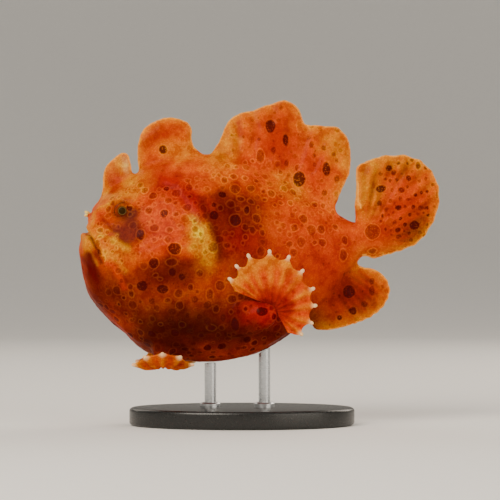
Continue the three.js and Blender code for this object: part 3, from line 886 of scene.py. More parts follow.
@dataclass(frozen=True)
class RayField:
    """Fin rays that fan out from a point in side view and show as low ridges."""

    hub: tuple[float, float]
    first: float
    last: float
    start: float
    full: float
    rays: int
    rise: float
    shade: float

    def turn(self, points: np.ndarray) -> np.ndarray:
        """Share of the fan's angle at each point, from 0 at its first ray to 1 at its last."""
        away = points[:, [0, 2]] - np.array(self.hub)
        angle = np.degrees(np.arctan2(away[:, 1], away[:, 0]))
        return (angle - self.first) / (self.last - self.first)

    def ridge(self, points: np.ndarray) -> np.ndarray:
        """How near each point is to a ray: 1 on it and 0 midway between two."""
        return np.abs(np.cos(math.pi * self.turn(points) * (self.rays - 1))) ** 1.6

    def cover(self, points: np.ndarray) -> np.ndarray:
        """How much each point belongs to the fan.

        Args:
            points: Places as rows of x, y and z.

        Returns:
            1 on the fin and 0 off it.
        """
        turn = self.turn(points)
        distance = np.linalg.norm(points[:, [0, 2]] - np.array(self.hub), axis=1)
        inside = smoothstep(-0.01, 0.02, turn) * smoothstep(1.01, 0.98, turn)
        return inside * smoothstep(self.start, self.full, distance) * (np.abs(points[:, 1]) < 4.0)

    def rise_at(self, points: np.ndarray) -> np.ndarray:
        """Height of the ridges at each point, 0 outside of the fan."""
        return self.rise * self.ridge(points) * self.cover(points)


RAY_FIELDS = (
    RayField((23.0, 40.6), -32.0, 104.0, 3.0, 9.0, 15, 0.2, 0.5),
    RayField((-3.0, 8.0), 52.0, 98.0, 46.5, 51.0, 13, 0.16, 0.25),
    RayField((6.0, 44.0), -55.0, -27.0, 14.0, 20.0, 8, 0.16, 0.4),
)


def eye_frame(side: str) -> tuple[np.ndarray, float, np.ndarray]:
    """Reads an eyeball's place from its solid.

    Args:
        side: The eye's side.

    Returns:
        The eyeball's centre, its radius and the direction in which it looks.
    """
    low, high = (np.array(corner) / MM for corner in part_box(f"eye_{side}"))
    axis = np.array([0.0, SIDES[side], EYE_UP])
    return (low + high) / 2, (high - low).min() / 2, axis / np.linalg.norm(axis)


@dataclass
class Skin:
    """The one skin of the fish's flesh, from lips to fin rims."""

    material: bpy.types.Material
    voxel: float = 0.26
    bridge: float = 0.2
    most_faces: int = 192_000
    spot_seed: int = 11
    opening: float = 0.95
    lid: float = 0.22
    piece: bpy.types.Object = field(init=False)

    def build(self, nodes: dict[str, bpy.types.Object]) -> bpy.types.Object:
        """Grows the skin over the flesh solids and paints it.

        Args:
            nodes: The frame's solids by name.

        Returns:
            The finished skin.
        """
        raw = self.joined(nodes)
        remesh = raw.modifiers.new("Remesh", "REMESH")
        remesh.mode = "VOXEL"
        remesh.voxel_size = self.voxel * MM
        grown = baked(raw, "skin")
        self.shape(grown, nodes)
        thin = grown.modifiers.new("Decimate", "DECIMATE")
        triangles = sum(len(face.vertices) - 2 for face in grown.data.polygons)
        thin.ratio = min(1.0, self.most_faces / triangles)
        self.piece = baked(grown, "skin")
        self.piece.data.shade_smooth()
        self.colour(self.piece.data)
        self.piece.data.materials.clear()
        self.piece.data.materials.append(self.material)
        return self.piece

    def joined(self, nodes: dict[str, bpy.types.Object]) -> bpy.types.Object:
        """Joins copies of the solids, each grown a little so that the gaps between them close.

        Args:
            nodes: The frame's solids by name.

        Returns:
            One object with all the copies in it.
        """
        whole = bmesh.new()
        for name in (*FLESH, "eye_left", "eye_right"):
            part = bmesh.new()
            part.from_mesh(nodes[name].data)
            bmesh.ops.remove_doubles(part, verts=part.verts, dist=0.002 * MM)
            part.normal_update()
            grow = (self.bridge if name in FLESH else -0.15) * MM
            for vert in part.verts:
                vert.co += vert.normal * grow
            mesh = bpy.data.meshes.new("part")
            part.to_mesh(mesh)
            part.free()
            whole.from_mesh(mesh)
            bpy.data.meshes.remove(mesh)
        mesh = bpy.data.meshes.new("flesh")
        whole.to_mesh(mesh)
        whole.free()
        return link("flesh", mesh)

    def shape(self, grown: bpy.types.Object, nodes: dict[str, bpy.types.Object]) -> None:
        """Evens the skin and presses the folds, ridges and small unevenness into it.

        Args:
            grown: The remeshed skin.
            nodes: The frame's solids by name.
        """
        mesh = grown.data
        points = corners(mesh)
        pairs = edges(mesh)
        away = self.from_trunk(points, nodes)
        thin = smoothstep(0.9, 2.6, away)
        points = relaxed(points, pairs, 0.55 * (1 - thin), 22)
        points = relaxed(points, pairs, np.full(len(points), 0.4), 3)
        set_corners(mesh, points)
        out = normals(mesh)
        lift = np.full(len(points), -self.bridge)
        for fold in FOLDS:
            lift += fold.rise * bell(to_line(points, fold.line), fold.reach) * (1 - thin)
        for rays in RAY_FIELDS:
            lift += rays.rise_at(points) * thin
        lift += 0.1 * ripple(points, 5.0, 3) * (1 - thin) + 0.03 * ripple(points, 1.6, 4)
        shaped = points + out * lift[:, None]
        for nudge in NUDGES:
            near = bell(np.linalg.norm(points[:, [0, 2]] - np.array(nudge.at), axis=1), nudge.reach)
            shaped[:, 0] += nudge.shift[0] * near
            shaped[:, 2] += nudge.shift[1] * near
        for side in SIDES:
            shaped = self.lidded(shaped, side)
        set_corners(mesh, shaped)

    def lidded(self, points: np.ndarray, side: str) -> np.ndarray:
        """Draws the skin over an eyeball as a lid with a round opening.

        Args:
            points: The skin's corners.
            side: The eye's side.

        Returns:
            The moved corners.
        """
        centre, radius, axis = eye_frame(side)
        away = points - centre
        distance = np.maximum(np.linalg.norm(away, axis=1), 1e-6)
        out = away / distance[:, None]
        lean = out @ axis
        off = radius * np.sqrt(np.maximum(1 - lean**2, 0.0))
        wanted = radius + self.lid * bell(off - self.opening - 0.3, 0.35)
        wanted -= 0.55 * smoothstep(self.opening + 0.12, self.opening - 0.12, off)
        near = smoothstep(radius + 0.9, radius + 0.2, distance) * smoothstep(0.15, 0.5, lean)
        return points + out * (near * (wanted - distance))[:, None]

    def from_trunk(self, points: np.ndarray, nodes: dict[str, bpy.types.Object]) -> np.ndarray:
        """Distance from the trunk's own solids, which is large on the fins.

        Args:
            points: Places as rows of x, y and z.
            nodes: The frame's solids by name.

        Returns:
            The distance of each point.
        """
        whole = bmesh.new()
        for name in TRUNK:
            whole.from_mesh(nodes[name].data)
        tree = BVHTree.FromBMesh(whole)
        whole.free()
        return np.array([tree.find_nearest(Vector(place))[3] for place in points * MM]) / MM

    def colour(self, mesh: bpy.types.Mesh) -> None:
        """Paints the base colour, the spots, and a painted glow of light through the fins' thin rims on the skin.

        Args:
            mesh: The finished skin.
        """
        points = corners(mesh)
        rim = self.rim_distance(points, normals(mesh))
        paint(mesh, "rim", rim)
        tone = toned(points)
        for rays in RAY_FIELDS:
            valley = rays.shade * rays.cover(points) * (1 - rays.ridge(points)) * np.exp(-((rim - 3.2) ** 2) / 9)
            tone = tone * (1 - valley[:, None]) + pigment(Paint.RUST) * valley[:, None]
        # Painted glow: amber over the fins near their rims, fading inwards, for light shining through the thin fins.
        painted_rim_glow = 0.85 * np.exp(-rim / 1.3)[:, None]
        tone = tone * (1 - painted_rim_glow) + pigment(Paint.AMBER) * painted_rim_glow
        paint(mesh, "tone", tone)
        wavy = points + 0.08 * np.column_stack([ripple(points, 1.7, seed) for seed in (51, 52, 53)])
        edge, core, halo = SpotField(self.spot_seed).measure(wavy)
        paint(mesh, "spot_edge", edge)
        paint(mesh, "spot_core", core)
        paint(mesh, "spot_halo", halo)
        paint(mesh, "knob", np.zeros(len(points)))

    def rim_distance(self, points: np.ndarray, out: np.ndarray) -> np.ndarray:
        """Distance in side view from the rims of the upright fins.

        Args:
            points: The skin's corners.
            out: The outward direction at each corner.

        Returns:
            The distance of each corner, large away from the fins.
        """
        near_middle = np.abs(points[:, 1]) < 2.2
        above = points[:, 2] > np.interp(points[:, 0], (-40, -30, -17, -8, 8, 26), (48, 55.5, 61, 61.5, 57, 46))
        behind = points[:, 0] > np.interp(points[:, 2], (10, 22, 37, 47, 60), (10, 14, 23, 23, 20))
        rims = points[near_middle & (np.abs(out[:, 1]) < 0.45) & (above | behind)][:, [0, 2]]
        cell = 0.3
        kept = np.unique(np.round(rims / cell), axis=0) * cell
        nearest = np.full(len(points), 99.0)
        flat = points[:, [0, 2]]
        for chunk in np.array_split(np.arange(len(points)), 60):
            gaps = flat[chunk][:, None, :] - kept[None, :, :]
            nearest[chunk] = np.sqrt((gaps**2).sum(axis=2).min(axis=1))
        return np.where(np.abs(points[:, 1]) < 5.0, nearest, 99.0)


def toned(points: np.ndarray) -> np.ndarray:
    """The skin's base colour from soft patches and bands laid over each other, among them a painted glow along the
    gill cover's rear edge and painted shadow just behind it.

    Args:
        points: Places as rows of x, y and z.

    Returns:
        A linear colour of three shares for each point.
    """
    tone = np.tile(pigment(Paint.FLAME), (len(points), 1))
    drift = points + 0.55 * np.column_stack([ripple(points, 4.0, seed) for seed in (21, 22, 23)])
    for cloud in CLOUDS:
        cover = cloud.cover(drift)[:, None]
        tone = tone * (1 - cover) + pigment(cloud.paint) * cover
    drift = points + 0.18 * np.column_stack([ripple(points, 2.6, seed) for seed in (31, 32, 33)])
    for stripe in STRIPES:
        cover = stripe.strength * bell(to_line(drift, stripe.line), stripe.reach)[:, None]
        tone = tone * (1 - cover) + pigment(stripe.paint) * cover
    return tone


@dataclass
class SpotField:
    """All spots of the skin: the large ones by place, and seeded small ones between them."""

    seed: int
    reach: float = 2.4

    def measure(self, points: np.ndarray) -> tuple[np.ndarray, np.ndarray, np.ndarray]:
        """Finds each point's nearest spot outline.

        Args:
            points: The skin's corners.

        Returns:
            The distance to the outline, negative inside, then the darkness of that spot's middle
            and the strength of its pale outline.
        """
        order = np.argsort(points[:, 0])
        ranked = points[order]
        edge = np.full(len(points), 9.0)
        core = np.zeros(len(points))
        halo = np.zeros(len(points))
        for centre, half, mark, strength in self.placed(ranked):
            low, high = np.searchsorted(ranked[:, 0], (centre[0] - self.reach, centre[0] + self.reach))
            away = (ranked[low:high] - centre) / half
            outline = (np.sqrt((away**2).sum(axis=1)) - 1) * half.min()
            nearer = outline < edge[low:high]
            edge[low:high][nearer] = outline[nearer]
            core[low:high][nearer] = mark.value[0] * strength
            halo[low:high][nearer] = mark.value[1] * strength
        back = np.empty_like(order)
        back[order] = np.arange(len(order))
        return edge[back], core[back], halo[back]

    def placed(self, points: np.ndarray) -> list[tuple[np.ndarray, np.ndarray, Mark, float]]:
        """Places every spot on the skin.

        Args:
            points: The skin's corners, sorted along X.

        Returns:
            The centre, half sizes, kind and strength of each spot.
        """
        found: list[tuple[np.ndarray, np.ndarray, Mark, float]] = []
        for mark, spots in SPOTS.items():
            for x, z, wide, high in spots:
                for side in SIDES.values():
                    centre = self.on_skin(points, x, z, side)
                    half = np.array([wide / 2, (wide + high) / 4, high / 2])
                    found.append((centre, half, mark, 1.0))
        rng = np.random.default_rng(self.seed)
        places = [centre for centre, _, _, _ in found]
        radii = [half.mean() for _, half, _, _ in found]
        for scatter in SCATTERS:
            within = np.abs((points[:, [0, 2]] - np.array(scatter.middle)) / np.array(scatter.half))
            choice = points[(within**2).sum(axis=1) < 1.0]
            if len(choice) == 0:
                continue
            for _ in range(scatter.count * 2):
                centre = choice[rng.integers(len(choice))]
                radius = 0.5 * (scatter.least + (scatter.most - scatter.least) * rng.random() ** 2)
                gaps = np.linalg.norm(np.array(places) - centre, axis=1) - np.array(radii) - radius
                if gaps.min() < 0.22:
                    continue
                shape = radius * np.array([rng.uniform(0.8, 1.15), 1.0, rng.uniform(0.85, 1.25)])
                places.append(centre)
                radii.append(radius)
                found.append((centre, shape, scatter.mark, rng.uniform(0.45, 1.0)))
        return found

    def on_skin(self, points: np.ndarray, x: float, z: float, side: float) -> np.ndarray:
        """The outermost skin point of one side at a place in side view.

        Args:
            points: The skin's corners, sorted along X.
            x: Place along the fish.
            z: Height above the floor.
            side: -1 for the left side and 1 for the right.

        Returns:
            The point.
        """
        low, high = np.searchsorted(points[:, 0], (x - 0.6, x + 0.6))
        near = points[low:high]
        close = near[np.abs(near[:, 2] - z) < 0.6]
        if len(close) == 0:
            return np.array([x, side * 99.0, z])
        return np.array([x, close[np.argmax(side * close[:, 1]), 1], z])


@dataclass
class FinHand:
    """A hand-like paired fin: rays that spread from a wrist with skin webbed between them."""

    name: str
    node: str
    wrist: tuple[float, float, float]
    tips: Sequence[tuple[float, float, float]]
    heels: tuple[tuple[float, float, float], tuple[float, float, float]]
    across: tuple[float, float, float]
    cup: float
    root_red: float = 0.85
    tuck: float = 0.0
    web: float = 0.2
    ray: float = 0.5
    root: float = 1.3
    dip: float = 0.13
    columns_per_ray: int = 14
    rows: int = 44
    knob_radius: float = 0.42
    knob_length: float = 0.56
    sunk: float = 0.2

    def build(self, skin: bpy.types.Material, seed: int) -> list[bpy.types.Object]:
        """Builds the webbed hand and the pale knobs at its ray tips.

        Args:
            skin: The skin's material.
            seed: Seed of the small unevenness.

        Returns:
            The hand and its knobs.
        """
        shell = self.surface(seed)
        hand = shell.to_object()
        self.colour(hand.data)
        hand.data.materials.append(skin)
        return [hand, self.knobs(skin)]

    def surface(self, seed: int) -> Shell:
        """Makes the closed sheet of the hand.

        Args:
            seed: Seed of the small unevenness.

        Returns:
            The sheet, with its rays as ridges on both faces.
        """
        count = len(self.tips)
        columns = (count + 1) * self.columns_per_ray
        s = np.linspace(-1.0, count, columns + 1)
        t = np.linspace(0.0, 1.0, self.rows + 1) ** 0.85
        wrist = np.array(self.wrist)
        across = np.array(self.across)
        outer = catmull([self.heels[0], *self.tips, self.heels[1]], (s + 1) / (count + 1))
        between = (s >= 0) & (s <= count - 1)
        scallop = np.where(between, np.abs(np.sin(math.pi * s)) ** 0.75, 0.0)
        outer = outer + (wrist - outer) * (self.dip * scallop)[:, None]
        heels = [np.array(heel) * 0.35 + wrist * 0.65 for heel in self.heels]
        inner = catmull([heels[0], wrist, heels[1]], (s + 1) / (count + 1)) - self.tuck * across
        on_ray = self.ray_share()
        arch = np.sin(math.pi * (s + 1) / (count + 1))
        middle = inner[:, None, :] + (outer - inner)[:, None, :] * t[None, :, None]
        middle = middle + across * (self.cup * np.sin(math.pi * t)[None, :] * arch[:, None])[..., None]
        thick = self.web + (self.root - self.web) * (1 - t) ** 1.6 * smoothstep(-0.1, 0.16, t)
        ridge = self.ray * on_ray[:, None] * np.sin(math.pi * (0.12 + 0.8 * t))[None, :]
        half = (thick[None, :] + ridge) * np.where(t > 0.995, 0.45, 1.0)[None, :]
        half = half * (1 + 0.06 * ripple(middle.reshape(-1, 3), 1.2, seed).reshape(half.shape))
        front = middle + across * half[..., None]
        back = middle - across * half[..., None]
        points = np.concatenate([front.reshape(-1, 3), back.reshape(-1, 3)])
        return Shell(self.name, points, self.faces(columns))

    def ray_share(self) -> np.ndarray:
        """How near each column of the sheet is to a ray.

        Returns:
            1 on a ray and 0 midway between two or beyond the last, one number for each column.
        """
        count = len(self.tips)
        s = np.linspace(-1.0, count, (count + 1) * self.columns_per_ray + 1)
        return np.where((s > -0.5) & (s < count - 0.5), np.abs(np.cos(math.pi * s)) ** 3, 0.0)

    def faces(self, columns: int) -> list[tuple[int, ...]]:
        """Faces of the two sides and of the rim between them.

        Args:
            columns: Number of steps along the rim.

        Returns:
            The faces, pointing outwards.
        """
        width = self.rows + 1
        half = (columns + 1) * width
        made: list[tuple[int, ...]] = []
        for i in range(columns):
            for j in range(self.rows):
                a, b, c, d = i * width + j, (i + 1) * width + j, (i + 1) * width + j + 1, i * width + j + 1
                made.append((a, b, c, d))
                made.append((half + a, half + d, half + c, half + b))
        loop = [i * width for i in range(columns + 1)]
        loop += [columns * width + j for j in range(1, width)]
        loop += [i * width + self.rows for i in range(columns - 1, -1, -1)]
        loop += [j for j in range(self.rows - 1, 0, -1)]
        for first, second in zip(loop, loop[1:] + loop[:1]):
            made.append((second, first, half + first, half + second))
        return made

    def colour(self, mesh: bpy.types.Mesh) -> None:
        """Paints the hand: webs with a painted glow of light through their thin outer margin, pale rays and a red
        root.

        Args:
            mesh: The hand's mesh.
        """
        points = corners(mesh)
        wrist = np.array(self.wrist)
        from_wrist = np.linalg.norm(points - wrist, axis=1)
        reach = np.linalg.norm(np.array(self.tips) - wrist, axis=1).mean()
        share = from_wrist / reach
        tips = np.array(self.tips)
        tone = np.tile(pigment(Paint.FLAME), (len(points), 1))
        on_ray = np.tile(np.repeat(self.ray_share(), self.rows + 1), 2)
        blotch = smoothstep(0.5, 1.3, ripple(points, 1.3, 61))
        for cover, shade in (
            (0.3 * (1 - on_ray) * smoothstep(0.3, 0.6, share), Paint.EMBER),
            (0.75 * blotch * (1 - on_ray) * smoothstep(0.85, 0.7, share), Paint.BRICK),
            (0.6 * on_ray * smoothstep(0.3, 0.6, share), Paint.AMBER),
            (self.root_red * smoothstep(0.6, 0.25, share), Paint.BRICK),
            (0.4 * self.root_red * smoothstep(0.4, 0.1, share), Paint.WINE),
            # Painted glow: amber over the hand's outer part, for light shining through its thin margin.
            (0.8 * smoothstep(0.68, 0.98, share), Paint.AMBER),
        ):
            tone = tone * (1 - cover[:, None]) + pigment(shade) * cover[:, None]
        paint(mesh, "tone", tone)
        to_tip = np.sqrt(((points[:, None, :] - tips[None, :, :]) ** 2).sum(axis=2).min(axis=1))
        paint(mesh, "knob", 0.85 * smoothstep(1.4, 0.3, to_tip))
        paint(mesh, "rim", np.full(len(points), 9.0))
        for name, value in (("spot_edge", 9.0), ("spot_core", 0.0), ("spot_halo", 0.0)):
            paint(mesh, name, np.full(len(points), value))

    def knobs(self, skin: bpy.types.Material) -> bpy.types.Object:
        """Grows a pale knob on each ray tip with Geometry Nodes.

        Args:
            skin: The skin's material, whose white shows through the knob attribute.

        Returns:
            All knobs of the hand as one plain mesh.
        """
        tips = np.array(self.tips)
        outward = tips - np.array(self.wrist)
        outward /= np.linalg.norm(outward, axis=1)[:, None]
        mesh = bpy.data.meshes.new(self.name + "_tips")
        mesh.from_pydata(((tips - self.sunk * outward) * MM).tolist(), [], [])
        layer = mesh.attributes.new("outward", "FLOAT_VECTOR", "POINT")
        layer.data.foreach_set("vector", outward.astype(np.float32).ravel())
        carrier = link(self.name + "_tips", mesh)
        tree = KnobTree(skin)
        tree.attach(carrier, self.knob_radius, self.knob_length)
        made = baked(carrier, self.name + "_knobs")
        count = len(made.data.vertices)
        for name, value in (("knob", 0.92), ("rim", 9.0), ("spot_edge", 9.0), ("spot_core", 0.0), ("spot_halo", 0.0)):
            paint(made.data, name, np.full(count, value))
        paint(made.data, "tone", np.tile(pigment(Paint.CREAM), (count, 1)))
        return made


class KnobTree:
    """Geometry Nodes that set one tapered knob on each point, along its outward direction."""

    def __init__(self, material: bpy.types.Material) -> None:
        """Builds the tree.

        Args:
            material: The knobs' material.
        """
        tree = bpy.data.node_groups.new("ray_tip_knobs", "GeometryNodeTree")
        face = tree.interface
        face.new_socket("Geometry", in_out="INPUT", socket_type="NodeSocketGeometry")
        self.radius = face.new_socket("Knob radius", in_out="INPUT", socket_type="NodeSocketFloat").identifier
        self.length = face.new_socket("Knob length", in_out="INPUT", socket_type="NodeSocketFloat").identifier
        face.new_socket("Geometry", in_out="OUTPUT", socket_type="NodeSocketGeometry")
        graph = Graph(tree)
        given = graph.add("NodeGroupInput")
        ball = graph.add("GeometryNodeMeshUVSphere", {"Segments": 12, "Rings": 8, "Radius": 1.0})
        size = graph.add(
            "ShaderNodeCombineXYZ",
            {"X": given.outputs["Knob radius"], "Y": given.outputs["Knob radius"], "Z": given.outputs["Knob length"]},
        )
        outward = graph.add("GeometryNodeInputNamedAttribute", {"Name": "outward"}, data_type="FLOAT_VECTOR")
        turned = graph.add(
            "FunctionNodeAlignRotationToVector", {"Vector": outward.outputs["Attribute"]}, axis="Z"
        )
        spread = graph.add(
            "GeometryNodeInstanceOnPoints",
            {
                "Points": given.outputs["Geometry"],
                "Instance": ball.outputs["Mesh"],
                "Rotation": turned.outputs[0],
                "Scale": size.outputs[0],
            },
        )
        real = graph.add("GeometryNodeRealizeInstances", {"Geometry": spread.outputs[0]})
        even = graph.add("GeometryNodeSetShadeSmooth", {"Geometry": real.outputs[0]})
        dressed = graph.add("GeometryNodeSetMaterial", {"Geometry": even.outputs[0], "Material": material})
        graph.add("NodeGroupOutput", {"Geometry": dressed.outputs[0]})
        self.tree = tree

    def attach(self, carrier: bpy.types.Object, radius: float, length: float) -> None:
        """Puts the tree on an object of loose points.

        Args:
            carrier: The object with the points.
            radius: Radius of a knob.
            length: Half the length of a knob.
        """
        modifier = carrier.modifiers.new("Knobs", "NODES")
        modifier.node_group = self.tree
        modifier[self.radius] = radius * MM
        modifier[self.length] = length * MM


@dataclass(frozen=True)
class EyeGlaze:
    """A fish's eye: an olive brown iris and a soft dark pupil under a clear, wet cornea."""

    name: str = "eye_iris_and_cornea"
    pupil_mm: float = 0.8
    iris_mm: float = 1.25

    def build(self) -> bpy.types.Material:
        """Builds the material, which reads how far a point is from the eye's axis.

        Returns:
            The material.
        """
        material = bpy.data.materials.new(self.name)
        material.use_nodes = True
        graph = Graph(material.node_tree)
        off = graph.add("ShaderNodeAttribute", attribute_name="off_axis").outputs["Fac"]
        where = graph.add("ShaderNodeTexCoord").outputs["Object"]
        fleck = graph.add(
            "ShaderNodeTexNoise", {"Vector": where, "Scale": 1 / (0.45 * MM), "Detail": 3.0}
        ).outputs[0]
        iris = mixed(graph, fleck, linear("#5c3206"), linear("#3a1c04"))
        lit = mixed(graph, ramp(graph, off, self.pupil_mm + 0.14, self.pupil_mm + 0.02), iris, linear("#70502a"))
        pupil = mixed(graph, ramp(graph, off, self.pupil_mm + 0.05, self.pupil_mm - 0.15), lit, linear("#2e1c04"))
        lid = mixed(graph, ramp(graph, off, self.iris_mm - 0.2, self.iris_mm + 0.25), pupil, linear("#451a04"))
        glaze = graph.add(
            "ShaderNodeBsdfPrincipled",
            {
                "Base Color": lid,
                "Roughness": 0.35,
                "Specular IOR Level": 0.02,
                "Coat Weight": 0.03,
                "Coat Roughness": 0.05,
            },
        )
        graph.add("ShaderNodeOutputMaterial", {"Surface": glaze.outputs[0]})
        return material


@dataclass
class Eye:
    """One eyeball, set in the skin where its solid is."""

    side: str
    rings: int = 48
    sides: int = 72
    bulge: float = 0.05

    def build(self, glaze: bpy.types.Material) -> bpy.types.Object:
        """Builds the eyeball with a slight bulge for the cornea.

        Args:
            glaze: The eye's material.

        Returns:
            The eyeball.
        """
        centre, radius, axis = eye_frame(self.side)
        ball = bmesh.new()
        bmesh.ops.create_uvsphere(ball, u_segments=self.sides, v_segments=self.rings, radius=1.0)
        mesh = bpy.data.meshes.new(f"eyeball_{self.side}")
        ball.to_mesh(mesh)
        ball.free()
        unit = corners(mesh) * MM
        lean = unit @ axis
        grow = radius * (1 + self.bulge * smoothstep(0.82, 1.0, lean))
        points = centre + unit * grow[:, None]
        set_corners(mesh, points)
        off = np.linalg.norm(unit - lean[:, None] * axis, axis=1) * radius
        paint(mesh, "off_axis", np.where(lean > 0, off, 9.0))
        mesh.shade_smooth()
        mesh.materials.append(glaze)
        return link(mesh.name, mesh)


@dataclass(frozen=True)
class PaleTissue:
    """Thin, almost clear skin of the lure and nostrils: milky, with light passing through."""

    name: str = "pale_lure_tissue"
    band_mm: float = 0.9

    def build(self) -> bpy.types.Material:
        """Builds the material.

        Returns:
            The material.
        """
        material = bpy.data.materials.new(self.name)
        material.use_nodes = True
        graph = Graph(material.node_tree)
        where = graph.add("ShaderNodeTexCoord").outputs["Object"]
        noise = graph.add(
            "ShaderNodeTexNoise", {"Vector": where, "Scale": 1 / (self.band_mm * MM), "Detail": 2.0}
        ).outputs[0]
        colour = mixed(graph, ramp(graph, noise, 0.4, 0.66), linear("#ffd478"), linear("#ea8c14"))
        tissue = graph.add(
            "ShaderNodeBsdfPrincipled",
            {
                "Base Color": colour,
                "Roughness": 0.45,
                "IOR": 1.4,
                "Specular IOR Level": 0.2,
                "Subsurface Weight": 0.7,
                "Subsurface Radius": (1.0, 0.6, 0.2),
                "Subsurface Scale": 0.9 * MM,
                "Coat Weight": 0.05,
                "Coat Roughness": 0.15,
            },
        )
        graph.add("ShaderNodeOutputMaterial", {"Surface": tissue.outputs[0]})
        return material


@dataclass
class FishingRod:
    """The first dorsal spine, laid back beside the second, with its frayed bait."""

    line: Sequence[tuple[float, float, float]] = (
        (-35.9, 0.3, 48.4),
        (-33.7, 2.0, 52.4),
        (-31.8, 2.5, 55.4),
        (-30.0, 2.0, 57.6),
        (-28.9, 0.9, 58.4),
    )
    frayed_end: tuple[float, float, float] = (-28.2, 0.1, 53.4)
    root: float = 0.42
    tip: float = 0.24
    steps: int = 60
    sides: int = 14
    filaments: int = 22
    filament_length: float = 1.3
    filament_radius: float = 0.22
    seed: int = 5

    def build(self, tissue: bpy.types.Material) -> list[bpy.types.Object]:
        """Builds the rod and the bait's filaments.

        Args:
            tissue: The pale tissue's material.

        Returns:
            The rod and the bait.
        """
        rod = self.rod().to_object()
        rod.data.materials.append(tissue)
        return [rod, self.bait(tissue)]

    def rod(self) -> Shell:
        """Makes the tapered rod with a gently ringed surface.

        Returns:
            The rod as a closed mesh.
        """
        shares = np.linspace(0, 1, self.steps + 1)
        path = catmull(self.line, shares)
        along = np.gradient(path, axis=0)
        along /= np.linalg.norm(along, axis=1)[:, None]
        side = np.cross(along, np.array([0.0, 1.0, 0.0]))
        side /= np.linalg.norm(side, axis=1)[:, None]
        other = np.cross(along, side)
        radius = self.root + (self.tip - self.root) * shares
        radius = radius * (1 + 0.12 * np.sin(shares * 2 * math.pi * 14))
        turn = np.linspace(0, 2 * math.pi, self.sides, endpoint=False)
        ring = np.cos(turn)[None, :, None] * side[:, None, :] + np.sin(turn)[None, :, None] * other[:, None, :]
        points = (path[:, None, :] + ring * radius[:, None, None]).reshape(-1, 3)
        n = self.sides
        faces: list[tuple[int, ...]] = []
        for i in range(self.steps):
            for j in range(n):
                a, b = i * n + j, i * n + (j + 1) % n
                faces.append((a, a + n, b + n, b))
        faces.append(tuple(range(n)))
        faces.append(tuple(self.steps * n + j for j in reversed(range(n))))
        return Shell("fishing_rod_spine", points, faces)

    def bait(self, tissue: bpy.types.Material) -> bpy.types.Object:
        """Grows the frayed bait with Geometry Nodes.

        Args:
            tissue: The pale tissue's material.

        Returns:
            The bait as a plain mesh.
        """
        rng = np.random.default_rng(self.seed)
        outward = 0.5 * rng.normal(size=(self.filaments, 3)) + np.array([0.35, 0.0, -0.9])
        outward /= np.linalg.norm(outward, axis=1)[:, None]
        mesh = bpy.data.meshes.new("bait_points")
        shares = np.linspace(0.0, 1.0, self.filaments)[:, None]
        starts = np.array(self.line[-1]) * (1 - shares) + np.array(self.frayed_end) * shares
        mesh.from_pydata((starts * MM).tolist(), [], [])
        layer = mesh.attributes.new("outward", "FLOAT_VECTOR", "POINT")
        layer.data.foreach_set("vector", outward.astype(np.float32).ravel())
        carrier = link("bait_points", mesh)
        KnobTree(tissue).attach(carrier, self.filament_radius, self.filament_length / 2)
        return baked(carrier, "fishing_rod_bait")


@dataclass
class Nostrils:
    """The two forked skin flaps that stand at the front nostrils."""

    at: tuple[float, float, float] = (-38.0, 1.6, 46.8)
    lean: tuple[tuple[float, float, float], ...] = ((-1.0, 0.3, 0.75), (-1.0, 0.4, -0.3))
    radius: float = 0.4
    length: float = 0.78

    def build(self, tissue: bpy.types.Material) -> bpy.types.Object:
        """Grows both pairs of flaps with Geometry Nodes.

        Args:
            tissue: The pale tissue's material.

        Returns:
            The flaps as a plain mesh.
        """
        places, outward = [], []
        for side in SIDES.values():
            for lean in self.lean:
                places.append((self.at[0], side * self.at[1], self.at[2] + 0.35 * lean[2]))
                outward.append((lean[0], side * lean[1], lean[2]))
        mesh = bpy.data.meshes.new("nostril_points")
        mesh.from_pydata((np.array(places) * MM).tolist(), [], [])
        layer = mesh.attributes.new("outward", "FLOAT_VECTOR", "POINT")
        layer.data.foreach_set("vector", np.array(outward, dtype=np.float32).ravel())
        carrier = link("nostril_points", mesh)
        KnobTree(tissue).attach(carrier, self.radius, self.length)
        return baked(carrier, "nostril_flaps")


@dataclass(frozen=True)
class Acrylic:
    """Cast acrylic, satin black with polished edges: deep colour and a soft, clear reflection."""

    name: str = "acrylic_black_satin"
    grain_mm: float = 0.35

    def build(self) -> bpy.types.Material:
        """Builds the material.

        Returns:
            The material.
        """
        material = bpy.data.materials.new(self.name)
        material.use_nodes = True
        graph = Graph(material.node_tree)
        where = graph.add("ShaderNodeTexCoord").outputs["Object"]
        noise = graph.add(
            "ShaderNodeTexNoise", {"Vector": where, "Scale": 1 / (self.grain_mm * MM), "Detail": 3.0}
        ).outputs[0]
        dust = mixed(graph, ramp(graph, noise, 0.66, 0.8), linear("#181817"), linear("#2b2a28"))
        rough = graph.add("ShaderNodeMapRange", {"Value": noise, 1: 0.3, 2: 0.7, 3: 0.24, 4: 0.36}).outputs[0]
        bump = graph.add("ShaderNodeBump", {"Strength": 0.08, "Distance": 0.02 * MM, "Height": noise})
        plastic = graph.add(
            "ShaderNodeBsdfPrincipled",
            {"Base Color": dust, "Roughness": rough, "IOR": 1.49, "Normal": bump.outputs[0]},
        )
        graph.add("ShaderNodeOutputMaterial", {"Surface": plastic.outputs[0]})
        return material


